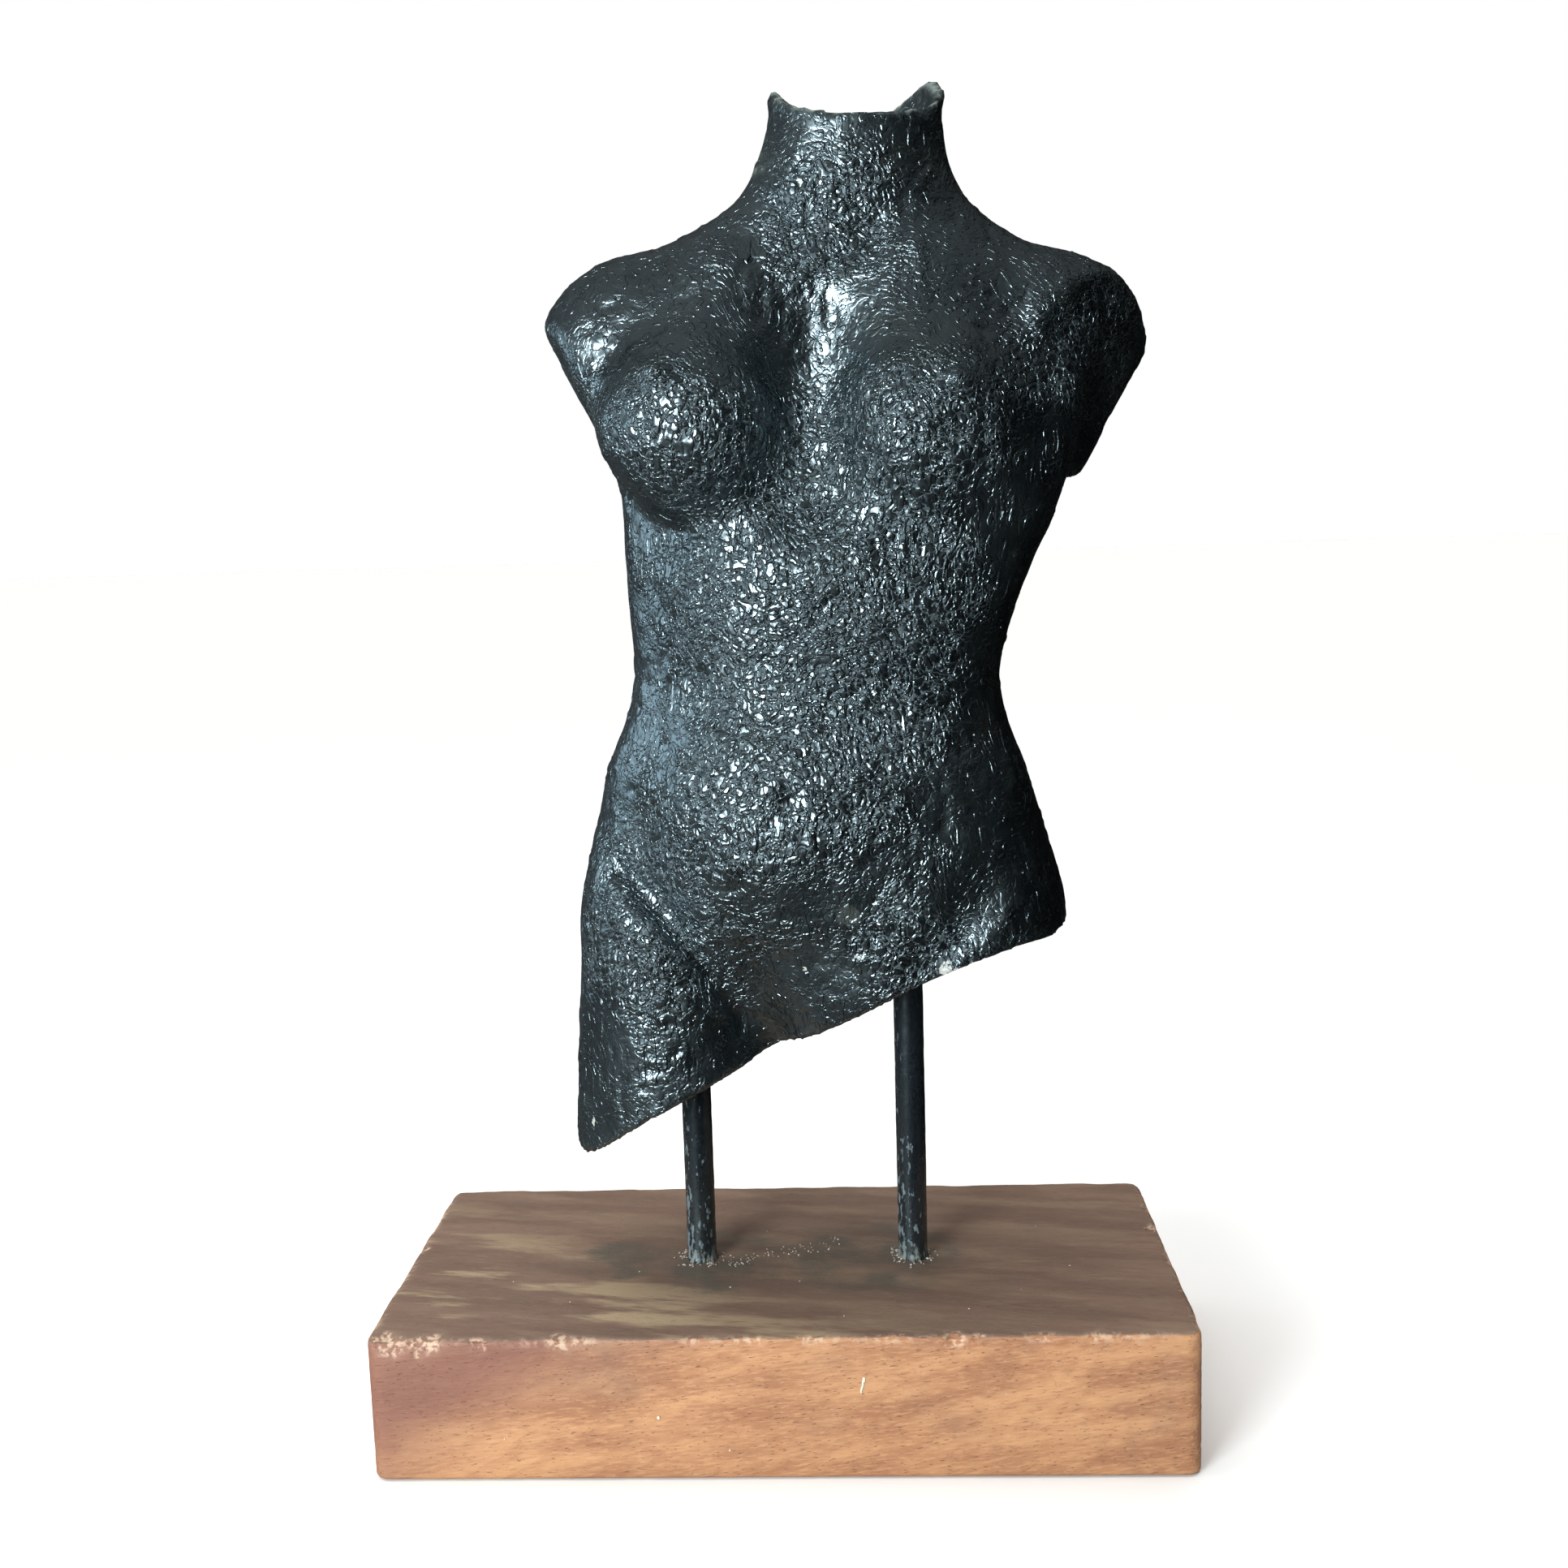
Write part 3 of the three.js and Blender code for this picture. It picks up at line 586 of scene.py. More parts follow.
def black_ceramic():
    material, tree, shader = new_material("black_ceramic")
    place = place_in(tree)
    kept_numbers = ("flow", "hollow", "broken", "worked")
    flow, hollow, broken, worked = (
        put(tree, "Attribute", "Fac", {"attribute_name": name}) for name in kept_numbers
    )

    def flow_place(width, length):
        squeezed = maths(tree, "DIVIDE", flow, width)
        offset = put(tree, "CombineXYZ", 0, Z=squeezed)
        spread = vector_maths(tree, "MULTIPLY", place, (1 / (length * MM),) * 3)
        return vector_maths(tree, "ADD", spread, offset)

    wrinkle = noise(tree, flow_place(8.0, 3.4), 1.0, detail=0.0)
    ridge = maths(tree, "ABSOLUTE", maths(tree, "SUBTRACT", wrinkle, 0.5))
    ridge = maths(tree, "MINIMUM", maths(tree, "MULTIPLY", ridge, 9.0), 1.0)
    ridge = maths(tree, "MULTIPLY", ridge, maths(tree, "MULTIPLY_ADD", worked, 0.85, 0.15))
    warp = put(tree, "TexNoise", "Color", Vector=place, Scale=330.0, Detail=1.0)
    warp = vector_maths(tree, "MULTIPLY", vector_maths(tree, "SUBTRACT", warp, (0.5,) * 3), (1.7,) * 3)
    pads_at = vector_maths(tree, "ADD", flow_place(15.0, 4.4), warp)
    pads = put(tree, "TexVoronoi", "Distance", {"feature": "DISTANCE_TO_EDGE"}, Vector=pads_at, Scale=1.0)
    crack = maths(tree, "MULTIPLY_ADD", worked, 0.8, 0.1)
    crack = maths(tree, "MULTIPLY", step(tree, pads, 0.10, 0.02), crack)
    pads = step(tree, pads, 0.0, 0.16)
    pads = maths(tree, "MULTIPLY", pads, maths(tree, "MULTIPLY_ADD", worked, 0.85, 0.15))
    curl = noise(tree, flow_place(-7.0, 2.6), 1.0, detail=0.5)
    curl = maths(tree, "MULTIPLY", curl, maths(tree, "MULTIPLY_ADD", worked, 0.75, 0.25))
    dash = noise(tree, flow_place(3.6, 3.0), 1.0, detail=0.0)
    dash = maths(tree, "ADD", step(tree, dash, 0.66, 0.73), step(tree, dash, 0.34, 0.27))
    grit = noise(tree, place, 1000.0, detail=3.0, roughness=0.6)
    relief = bump(tree, ridge, RIDGE_RELIEF)
    for layer, depth in ((pads, PAD_RELIEF), (curl, CURL_RELIEF), (dash, DASH_RELIEF), (grit, GRIT_RELIEF)):
        relief = bump(tree, layer, depth, relief)

    tone = noise(tree, place, 30.0, detail=4.0, roughness=0.6)
    colour = blend(tree, step(tree, tone, 0.38, 0.64), (0.0014, 0.0022, 0.0026), (0.0044, 0.0066, 0.0078))
    warm = noise(tree, vector_maths(tree, "ADD", place, (0.3, 0.1, 0.7)), 45.0, detail=3.0)
    colour = blend(tree, step(tree, warm, 0.58, 0.75), colour, (0.0065, 0.0070, 0.0055))
    # Painted shade: the colour is darkened where the relief is hollow.
    colour = blend(tree, step(tree, hollow, 0.15, 0.9), colour, (0.0025, 0.0028, 0.003))
    worn = maths(tree, "MULTIPLY", step(tree, hollow, -0.35, -1.0), step(tree, grit, 0.48, 0.64))
    colour = blend(tree, worn, colour, (0.014, 0.019, 0.021))
    grains = put(tree, "TexVoronoi", "Distance", Vector=place, Scale=420.0)
    chosen = step(tree, noise(tree, place, 170.0, detail=0.0), 0.76, 0.82)
    grain = maths(tree, "MULTIPLY", step(tree, grains, 0.17, 0.09), chosen)
    colour = blend(tree, grain, colour, (0.42, 0.43, 0.40))
    colour = blend(tree, spots_near(tree, place, GREENISH_SPOTS), colour, (0.030, 0.034, 0.030))
    pale = spots_near(tree, place, PALE_SPOTS)
    plaster = spots_near(tree, place, PLASTER_SPOTS)
    colour = blend(tree, maths(tree, "MAXIMUM", pale, plaster), colour, (0.46, 0.45, 0.41))
    bare = maths(tree, "MULTIPLY", broken, step(tree, noise(tree, place, 160.0, detail=4.0), 0.40, 0.56))
    colour = blend(tree, bare, colour, (0.125, 0.145, 0.120))

    gloss = noise(tree, place, 70.0, detail=4.0, roughness=0.65)
    gloss = put(tree, "MapRange", 0, Value=gloss, From_Min=0.3, From_Max=0.7, To_Min=0.22, To_Max=0.35)
    matt = maths(tree, "MAXIMUM", maths(tree, "MAXIMUM", bare, plaster), maths(tree, "MAXIMUM", grain, crack))
    rough = maths(tree, "MAXIMUM", gloss, maths(tree, "MULTIPLY", matt, 0.8))
    fill(tree, shader.inputs["Base Color"], colour)
    fill(tree, shader.inputs["Roughness"], rough)
    fill(tree, shader.inputs["Normal"], relief)
    shader.inputs["IOR"].default_value = GLAZE_IOR
    shader.inputs["Specular Tint"].default_value = GLAZE_TINT
    return material


def dress(piece, material):
    piece.data.materials.clear()
    piece.data.materials.append(material)


dress(torso, black_ceramic())
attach(torso, "root")
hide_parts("torso")
print("ceramic dressed")

# %% [markdown]
# Each rod is a length of round steel bar, painted black and knocked about near its foot. A ring of
# points is swept up the rod. The ring's radius wanders by a few hundredths of a millimetre, the
# way a hand-painted bar does, and swells to a bead of paint and glue where it enters the wood.

# %% The rods
ROD_SIDES = 72
ROD_STEP = 1.0 * MM


def swept_rings(name, centres, radii, sides):
    """A closed mesh from rings: radii holds one row of radii per centre."""
    shape = bmesh.new()
    rings = []
    for centre, row in zip(centres, radii):
        turn = [2 * math.pi * k / sides for k in range(sides)]
        rings.append([
            shape.verts.new((centre[0] + r * math.cos(t), centre[1] + r * math.sin(t), centre[2]))
            for r, t in zip(row, turn)
        ])
    for low, high in zip(rings, rings[1:]):
        for k in range(sides):
            n = (k + 1) % sides
            shape.faces.new((low[k], low[n], high[n], high[k]))
    shape.faces.new(rings[0][::-1])
    shape.faces.new(rings[-1])
    mesh = mesh_of(name, shape)
    mesh.shade_smooth()
    return placed(name, mesh)


plinth_low, plinth_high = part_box("plinth")


def painted_rod(node, name, seed):
    low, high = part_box(node)
    middle = (low + high) / 2
    radius = (high.x - low.x) / 2
    chamfer = 0.6 * MM
    levels = [low.z, low.z + chamfer]
    steps = int((high.z - low.z) / ROD_STEP)
    levels += [low.z + (high.z - low.z) * k / steps for k in range(1, steps)]
    levels += [high.z - chamfer, high.z]
    turn = np.arange(ROD_SIDES) * 2 * math.pi / ROD_SIDES
    radii = []
    for level in levels:
        height = np.full(ROD_SIDES, level / MM / 3.4)
        ring = np.stack([2.2 * np.cos(turn), 2.2 * np.sin(turn), height], axis=1)
        row = radius + 0.055 * MM * smooth_noise(ring, seed)
        row += 0.03 * MM * smooth_noise(ring * 3.0, seed + 1)
        over_wood = (level - plinth_high.z) / MM
        bead = math.exp(-((over_wood / 1.3) ** 2))
        row += bead * (0.45 + 0.35 * smooth_noise(ring * (1.1, 1.1, 0.0), seed + 2)) * MM
        end = min(level - low.z, high.z - level) / chamfer
        radii.append(row - max(0.0, 1 - end) * chamfer)
    return swept_rings(name, [(middle.x, middle.y, level) for level in levels], radii, ROD_SIDES)


rods = [painted_rod("rod_left", "left_rod", 70), painted_rod("rod_right", "right_rod", 80)]
print("rod triangles", [2 * len(rod.data.polygons) for rod in rods])

# %% [markdown]
# The rod's paint is black with a blue cast. Rubbing has laid grey speckles through it in vertical runs,
# thickest near the foot. The speckle is one noise, stretched along the rod, and a second mask that fades with
# height decides how much of it shows. The same grey speckle is made denser on the side that faces the left
# window, as a painted reflection of that window.

# %% Worn black paint on steel
ROD_PAINT_IOR = 1.9


def rod_paint():
    material, tree, shader = new_material("worn_black_paint_and_sheen")
    place = place_in(tree)
    level = put(tree, "SeparateXYZ", "Z", Vector=place)
    tall = vector_maths(tree, "MULTIPLY", place, (1.0, 1.0, 0.38))
    speckle = noise(tree, tall, 620.0, detail=4.0, roughness=0.65)
    runs = noise(tree, vector_maths(tree, "MULTIPLY", place, (1.0, 1.0, 0.09)), 260.0, detail=2.0)
    low_down = step(tree, level, plinth_high.z + 42 * MM, plinth_high.z)
    edge = maths(tree, "MULTIPLY_ADD", low_down, -0.10, 0.66)
    # Painted reflection: more grey speckle where the rod faces left, towards the window.
    facing = put(tree, "SeparateXYZ", "X", Vector=put(tree, "NewGeometry", "Normal"))
    edge = maths(tree, "MULTIPLY_ADD", step(tree, facing, -0.15, -0.8), -0.05, edge)
    rubbed_and_window_sheen = maths(tree, "SUBTRACT", maths(tree, "ADD", speckle, maths(tree, "MULTIPLY", runs, 0.35)), 0.175)
    rubbed_and_window_sheen = step(tree, maths(tree, "SUBTRACT", rubbed_and_window_sheen, edge), -0.03, 0.05)
    fine = noise(tree, place, 1500.0, detail=2.0)
    colour = blend(tree, step(tree, fine, 0.35, 0.7), (0.003, 0.005, 0.007), (0.010, 0.014, 0.018))
    colour = blend(tree, rubbed_and_window_sheen, colour, (0.13, 0.17, 0.185))
    dust = step(tree, level, plinth_high.z + 7 * MM, plinth_high.z)
    dust = maths(tree, "MULTIPLY", dust, step(tree, speckle, 0.42, 0.60))
    colour = blend(tree, dust, colour, (0.17, 0.185, 0.16))
    relief = bump(tree, rubbed_and_window_sheen, 0.06 * MM)
    relief = bump(tree, fine, 0.05 * MM, relief)
    relief = bump(tree, runs, 0.10 * MM, relief)
    fill(tree, shader.inputs["Base Color"], colour)
    shader.inputs["IOR"].default_value = ROD_PAINT_IOR
    shader.inputs["Specular Tint"].default_value = GLAZE_TINT
    rough = maths(tree, "MULTIPLY_ADD", rubbed_and_window_sheen, 0.18, 0.27)
    fill(tree, shader.inputs["Roughness"], maths(tree, "MAXIMUM", rough, maths(tree, "MULTIPLY", dust, 0.75)))
    fill(tree, shader.inputs["Normal"], relief)
    return material


rod_finish = rod_paint()
for rod, node in zip(rods, ("rod_left", "rod_right")):
    dress(rod, rod_finish)
    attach(rod, "root")
    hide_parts(node)
print("rods dressed")

# %% [markdown]
# The plinth is a sawn block of hardwood with rounded corners, worn along its top edges. It starts
# as a cube whose six faces are ruled into a fine grid. Each grid point is then moved on to the
# block: first the four upright corners are rounded in plan, then the top and bottom edges in section.
# The edge's rounding grows and shrinks along the edge, and a few chips are bitten out of it.

# %% The block of wood
PLINTH_CELL = 1.25 * MM
CORNER_ROUND = 5.0 * MM
EDGE_ROUND = 1.6 * MM
CHIPS = [
    # place in mm, radius in mm, depth in mm
    ((54.0, -63.0, 47.0), 4.4, 1.4),
    ((61.0, -63.0, 47.2), 2.8, 1.0),
    ((-124.0, -62.0, 47.3), 6.0, 1.5),
    ((-112.0, -63.4, 48.0), 6.5, 1.0),
    ((-95.0, -63.2, 48.6), 5.0, 0.8),
    ((-70.0, -63.2, 48.8), 6.0, 0.8),
    ((10.0, -63.6, 48.6), 3.0, 0.6),
    ((98.0, -63.6, 48.8), 4.0, 0.6),
    ((129.0, 20.0, 48.2), 3.6, 0.8),
    ((-130.3, 8.0, 48.2), 3.0, 0.7),
]


def graded(length, cell, fine_zone):
    """Places from one end to the other, closer together within the fine zone at both ends."""
    fine = np.linspace(0, fine_zone, 6)
    middle = np.linspace(fine_zone, length - fine_zone, max(2, int((length - 2 * fine_zone) / cell)))
    return np.concatenate([fine[:-1], middle, length - fine[::-1][1:]]) - length / 2


def ruled_box(name, size):
    """A box whose faces are ruled into a grid, sharing the points along its edges."""
    rules = [graded(side, PLINTH_CELL, EDGE_ROUND) for side in size]
    shape = bmesh.new()
    shared = {}

    def corner(x, y, z):
        key = (round(x / MM, 4), round(y / MM, 4), round(z / MM, 4))
        if key not in shared:
            shared[key] = shape.verts.new((x, y, z))
        return shared[key]

    for axis in range(3):
        u, v = [a for a in range(3) if a != axis]
        for side in (-1, 1):
            def point(i, j):
                p = [0.0, 0.0, 0.0]
                p[axis], p[u], p[v] = side * size[axis] / 2, rules[u][i], rules[v][j]
                return corner(*p)
            for i in range(len(rules[u]) - 1):
                for j in range(len(rules[v]) - 1):
                    face = [point(i, j), point(i + 1, j), point(i + 1, j + 1), point(i, j + 1)]
                    outward = (side > 0) == (axis != 1)
                    shape.faces.new(face if outward else face[::-1])
    return placed(name, mesh_of(name, shape))


def rounded(offsets, radius):
    """Turns square corner offsets, from the rounding's centre, into round ones."""
    reach = np.abs(offsets).max(axis=1)
    length = np.linalg.norm(offsets, axis=1)
    scale = np.where(length > 1e-12, np.minimum(reach, radius) / np.maximum(length, 1e-12), 1.0)
    inside = (np.abs(offsets) > 0).all(axis=1)
    return np.where(inside[:, None], offsets * scale[:, None], offsets)


def block_of_wood():
    size = plinth_high - plinth_low
    piece = ruled_box("wood_plinth", size)
    p = corners_of(piece.data)
    half = np.array(size) / 2
    inner = half[:2] - CORNER_ROUND
    core = np.clip(p[:, :2], -inner, inner)
    plan = core + rounded(p[:, :2] - core, CORNER_ROUND)
    direction = plan - core
    outline = np.abs(p[:, :2]).max(axis=1) > 0
    across = half[:2] - np.abs(p[:, :2])
    inset = np.maximum(0.0, across.min(axis=1))
    depth = half[2] - np.abs(p[:, 2])
    outward = np.where(across[:, :1] < across[:, 1:], [[1.0, 0.0]], [[0.0, 1.0]]) * np.sign(p[:, :2])
    in_corner = (np.abs(direction) > 1e-9).all(axis=1)
    length = np.linalg.norm(direction, axis=1, keepdims=True)
    outward = np.where(in_corner[:, None], direction / np.maximum(length, 1e-9), outward)
    section = np.stack([np.maximum(EDGE_ROUND - inset, 0), np.maximum(EDGE_ROUND - depth, 0)], axis=1)
    round_section = rounded(section, EDGE_ROUND)
    change = section - round_section
    near_edge = (section > 0).all(axis=1) & outline
    plan -= np.where(near_edge[:, None], outward * change[:, :1], 0.0)
    z = p[:, 2] - np.where(near_edge, np.sign(p[:, 2]) * change[:, 1], 0.0)
    moved = np.column_stack([plan, z]) + np.array((plinth_low + plinth_high) / 2)
    set_corners(piece.data, moved)
    return piece


plinth = block_of_wood()
print("plinth net", 2 * len(plinth.data.polygons), "triangles")

# %% [markdown]
# Wood is worked with its grain. The grain's own axes run nearly along the block, rising a little
# to the right. The surface of old wood sinks between the hard lines of the grain, pores open as short
# grooves along it, and the top edges are rubbed down unevenly.

# %% Wear of the wood
GRAIN_RISE = math.radians(6.0)
GRAIN_SWING = math.radians(-9.0)


def grain_places(points):
    """Points in the grain's own axes, along the grain first."""
    forward = math.cos(GRAIN_RISE) * math.cos(GRAIN_SWING)
    along = np.array([forward, -math.sin(GRAIN_SWING), math.sin(GRAIN_RISE)])
    along /= np.linalg.norm(along)
    side = np.cross([0.0, 0.0, 1.0], along)
    side /= np.linalg.norm(side)
    return np.stack([points @ along, points @ side, points @ np.cross(along, side)], axis=1)


def wear_wood(piece):
    mesh = piece.data
    points = corners_of(mesh) / MM
    normals = normals_of(mesh)
    grain = grain_places(points)
    height = -0.10 * np.abs(smooth_noise(grain / (55, 3.4, 3.4), 90))
    height += 0.05 * smooth_noise(grain / (20, 1.9, 1.9), 91)
    height += 0.16 * smooth_noise(points / 38, 92)
    pores = smooth_noise(grain / (7.5, 1.6, 1.6), 93)
    height -= 0.22 * smoothstep(pores, 0.62, 0.85)
    top, front = plinth_high.z / MM, plinth_low.y / MM
    beneath = smoothstep(-normals[:, 2], 0.5, 0.9)
    height *= 1 - beneath
    fresh = np.zeros(len(points))
    size_x, size_y = plinth_high.x / MM, plinth_high.y / MM
    to_side = np.minimum(size_x - np.abs(points[:, 0]), size_y - np.abs(points[:, 1]))
    to_edge = np.hypot(to_side, top - points[:, 2])
    rub = (1 - smoothstep(to_edge, 0.0, 3.4)) * (0.35 + 0.65 * smooth_noise(points / 9, 94))
    height -= 0.75 * np.clip(rub, 0, 1)
    fresh = np.maximum(fresh, np.clip(rub * 1.3, 0, 1))
    ragged = 1 + 0.28 * smooth_noise(points / 1.9, 95) + 0.2 * smooth_noise(points / 4.3, 96)
    for centre, radius, depth in CHIPS:
        away = np.linalg.norm(points - np.array(centre), axis=1) * ragged
        bite = 1 - smoothstep(away, 0.45 * radius, radius)
        height -= depth * bite
        fresh = np.maximum(fresh, smoothstep(bite, 0.15, 0.5))
    points += height[:, None] * normals
    set_corners(mesh, points * MM)
    keep_number(mesh, "fresh", fresh)
    mesh.shade_smooth()
    return height


worn = wear_wood(plinth)
print("wood relief from", round(worn.min(), 2), "to", round(worn.max(), 2), "mm")

# %% [markdown]
# The wood's colour is cut from one imagined log, so the lines on the front, the ends and the top all
# meet at the edges. Growth rings are the distance from the log's heart, bent by slow noise. The
# front is orange-tan with a purple-red patch at the upper left; the top has gone grey-brown, with
# a grey-green smudge round the rods.

# %% The weathered wood
LOG_HEART = Vector((-60.0, 150.0, -95.0)) * MM
BARE_SHIFT = 48 * MM
ROD_SMUDGES = [((-26.0, -4.0, 47.0), 30.0), ((30.0, -2.0, 47.0), 34.0), ((-58.0, -4.0, 47.0), 18.0)]


def weathered_wood():
    material, tree, shader = new_material("weathered_wood")
    place = place_in(tree)
    x, y, z = (put(tree, "SeparateXYZ", axis, Vector=place) for axis in "XYZ")
    upward = put(tree, "SeparateXYZ", "Z", Vector=put(tree, "NewGeometry", "Normal"))
    turned = (0.0, GRAIN_RISE, -GRAIN_SWING)
    grain = put(tree, "Mapping", 0, {"vector_type": "POINT"}, Vector=place, Rotation=turned)

    def stretched(along, across):
        return vector_maths(tree, "MULTIPLY", grain, (1 / (along * MM), 1 / (across * MM), 1 / (across * MM)))

    bend = noise(tree, stretched(95.0, 42.0), 1.0, detail=2.0)
    swirl = noise(tree, stretched(38.0, 16.0), 1.0, detail=2.0)
    from_heart = vector_maths(tree, "SUBTRACT", grain, tuple(LOG_HEART))
    from_heart = vector_maths(tree, "MULTIPLY", from_heart, (0.0, 1.0, 1.0))
    ring = put(tree, "VectorMath", "Value", {"operation": "LENGTH"}, Vector=from_heart)
    ring = maths(tree, "DIVIDE", ring, 4.8 * MM)
    ring = maths(tree, "ADD", ring, maths(tree, "MULTIPLY", bend, 4.2))
    ring = maths(tree, "ADD", ring, maths(tree, "MULTIPLY", swirl, 1.3))
    phase = maths(tree, "FRACT", ring)
    late = maths(tree, "MULTIPLY", step(tree, phase, 0.35, 0.93), step(tree, phase, 1.0, 0.95))
    streak = noise(tree, stretched(19.0, 0.8), 1.0, detail=4.0, roughness=0.66)
    broad = noise(tree, stretched(60.0, 9.0), 1.0, detail=3.0)
    pores = step(tree, noise(tree, stretched(4.6, 0.42), 1.0, detail=1.0), 0.67, 0.74)

    front = blend(tree, step(tree, broad, 0.32, 0.68), (0.32, 0.140, 0.066), (0.49, 0.250, 0.116))
    front = blend(tree, maths(tree, "MULTIPLY", late, 0.26), front, (0.32, 0.135, 0.066))
    pale_streak = maths(tree, "MULTIPLY", step(tree, streak, 0.46, 0.70), 0.55)
    front = blend(tree, pale_streak, front, (0.56, 0.305, 0.150))
    dark_streak = maths(tree, "MULTIPLY", step(tree, streak, 0.46, 0.30), 0.6)
    front = blend(tree, dark_streak, front, (0.30, 0.125, 0.060))
    patch = maths(tree, "ADD", maths(tree, "MULTIPLY", x, -9.0), maths(tree, "MULTIPLY", z, 16.0))
    patch = maths(tree, "ADD", patch, maths(tree, "MULTIPLY", bend, 0.9))
    at_front = step(tree, y, plinth_low.y + 22 * MM, plinth_low.y + 4 * MM)
    purple = maths(tree, "MULTIPLY_ADD", at_front, 0.70, 0.12)
    purple = maths(tree, "MULTIPLY", step(tree, patch, 1.25, 1.95), purple)
    front = blend(tree, purple, front, (0.19, 0.078, 0.058))
    front = blend(tree, maths(tree, "MULTIPLY", pores, 0.6), front, (0.125, 0.055, 0.032))

    top = blend(tree, step(tree, broad, 0.30, 0.70), (0.140, 0.086, 0.062), (0.185, 0.118, 0.083))
    top = blend(tree, maths(tree, "MULTIPLY", late, 0.14), top, (0.150, 0.086, 0.062))
    silvered = maths(tree, "MULTIPLY", step(tree, streak, 0.50, 0.85), 0.35)
    top = blend(tree, silvered, top, (0.30, 0.235, 0.175))
    bare_band = step(tree, noise(tree, stretched(70.0, 13.0), 1.0, detail=4.0, roughness=0.6), 0.48, 0.62)
    rubbed_zone = maths(tree, "ADD", x, maths(tree, "MULTIPLY_ADD", y, 1.6, BARE_SHIFT))
    rubbed_zone = step(tree, rubbed_zone, 0.01, -0.08)
    bare = maths(tree, "MULTIPLY", bare_band, maths(tree, "MULTIPLY_ADD", rubbed_zone, 0.70, 0.15))
    top = blend(tree, bare, top, (0.36, 0.27, 0.165))
    smudge = spots_near(tree, place, ROD_SMUDGES)
    ragged = step(tree, noise(tree, place, 60.0, detail=5.0, roughness=0.6), 0.34, 0.66)
    smudge = maths(tree, "MULTIPLY", maths(tree, "MULTIPLY", smudge, ragged), 0.8)
    top = blend(tree, smudge, top, (0.088, 0.080, 0.060))
    top = blend(tree, maths(tree, "MULTIPLY", pores, 0.35), top, (0.07, 0.048, 0.036))

    fresh = put(tree, "Attribute", "Fac", {"attribute_name": "fresh"})
    upper = step(tree, maths(tree, "ADD", upward, maths(tree, "MULTIPLY", fresh, -0.25)), 0.45, 0.85)
    colour = blend(tree, upper, front, top)
    crumbly = step(tree, noise(tree, place, 520.0, detail=3.0), 0.44, 0.60)
    crumbly = maths(tree, "MULTIPLY", fresh, maths(tree, "MULTIPLY", crumbly, 0.75))
    colour = blend(tree, crumbly, colour, (0.60, 0.44, 0.31))
    blotch = noise(tree, place, 24.0, detail=5.0, roughness=0.6)
    blotch = maths(tree, "MULTIPLY", step(tree, blotch, 0.52, 0.80), 0.4)
    colour = blend(tree, blotch, colour, (0.12, 0.085, 0.075))

    relief = bump(tree, streak, 0.16 * MM)
    relief = bump(tree, pores, -0.10 * MM, relief)
    relief = bump(tree, noise(tree, place, 1100.0, detail=3.0), 0.07 * MM, relief)
    rough = maths(tree, "MULTIPLY_ADD", streak, 0.3, 0.42)
    fill(tree, shader.inputs["Base Color"], colour)
    fill(tree, shader.inputs["Roughness"], rough)
    fill(tree, shader.inputs["Normal"], relief)
    return material


dress(plinth, weathered_wood())
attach(plinth, "root")
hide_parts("plinth")
print("plinth dressed")

# %% [markdown]
# Grit, glue and filler lie where each rod enters the wood, and a few flecks of paint
# have dried on the block. Each crumb is a small ball of clay: an icosahedron with every corner
# pushed in or out at random, pressed a little into the surface it lies on.

# %% Crumbs and flecks
CRUMB_SEED = 5
crumb_random = np.random.default_rng(CRUMB_SEED)


def add_crumb(shape, place, size, flat=0.6):
    """One crumb whose lower third sinks into what it lies on."""
    made = bmesh.ops.create_icosphere(shape, subdivisions=1, radius=size)["verts"]
    spin = Matrix.Rotation(crumb_random.uniform(0, math.tau), 3, "Z")
    stretch = crumb_random.uniform(0.7, 1.5)
    for v in made:
        v.co *= crumb_random.uniform(0.7, 1.2)
        v.co.x *= stretch
        v.co.z *= flat
        v.co = spin @ v.co + Vector(place)


def crumb_colour(name, dark, light):
    material, tree, shader = new_material(name)
    place = place_in(tree)
    tone = noise(tree, place, 420.0, detail=3.0)
    fill(tree, shader.inputs["Base Color"], blend(tree, step(tree, tone, 0.35, 0.65), dark, light))
    grit = noise(tree, place, 2600.0, detail=2.0)
    fill(tree, shader.inputs["Roughness"], maths(tree, "MULTIPLY_ADD", grit, 0.3, 0.5))
    fill(tree, shader.inputs["Normal"], bump(tree, grit, 0.06 * MM))
    return material


def scattered(name, material, spots):
    """A piece made of crumbs: spots are places in millimetres with a crumb radius in millimetres."""
    shape = bmesh.new()
    for place, size, flat in spots:
        add_crumb(shape, [c * MM for c in place], size * MM, flat)
    mesh = mesh_of(name, shape)
    mesh.shade_smooth()
    piece = placed(name, mesh)
    dress(piece, material)
    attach(piece, "root")
    return piece


def ring_of_crumbs(node, count, spread):
    low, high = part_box(node)
    middle, radius = (low + high) / 2 / MM, (high.x - low.x) / 2 / MM
    top = plinth_high.z / MM
    spots = []
    for _ in range(count):
        turn = crumb_random.uniform(0, math.tau)
        away = radius + 0.3 + abs(crumb_random.normal(0, spread))
        size = crumb_random.uniform(0.25, 0.62)
        place = (middle.x + away * math.cos(turn), middle.y + away * math.sin(turn), top - 0.05)
        spots.append((place, size, 0.65))
    return spots


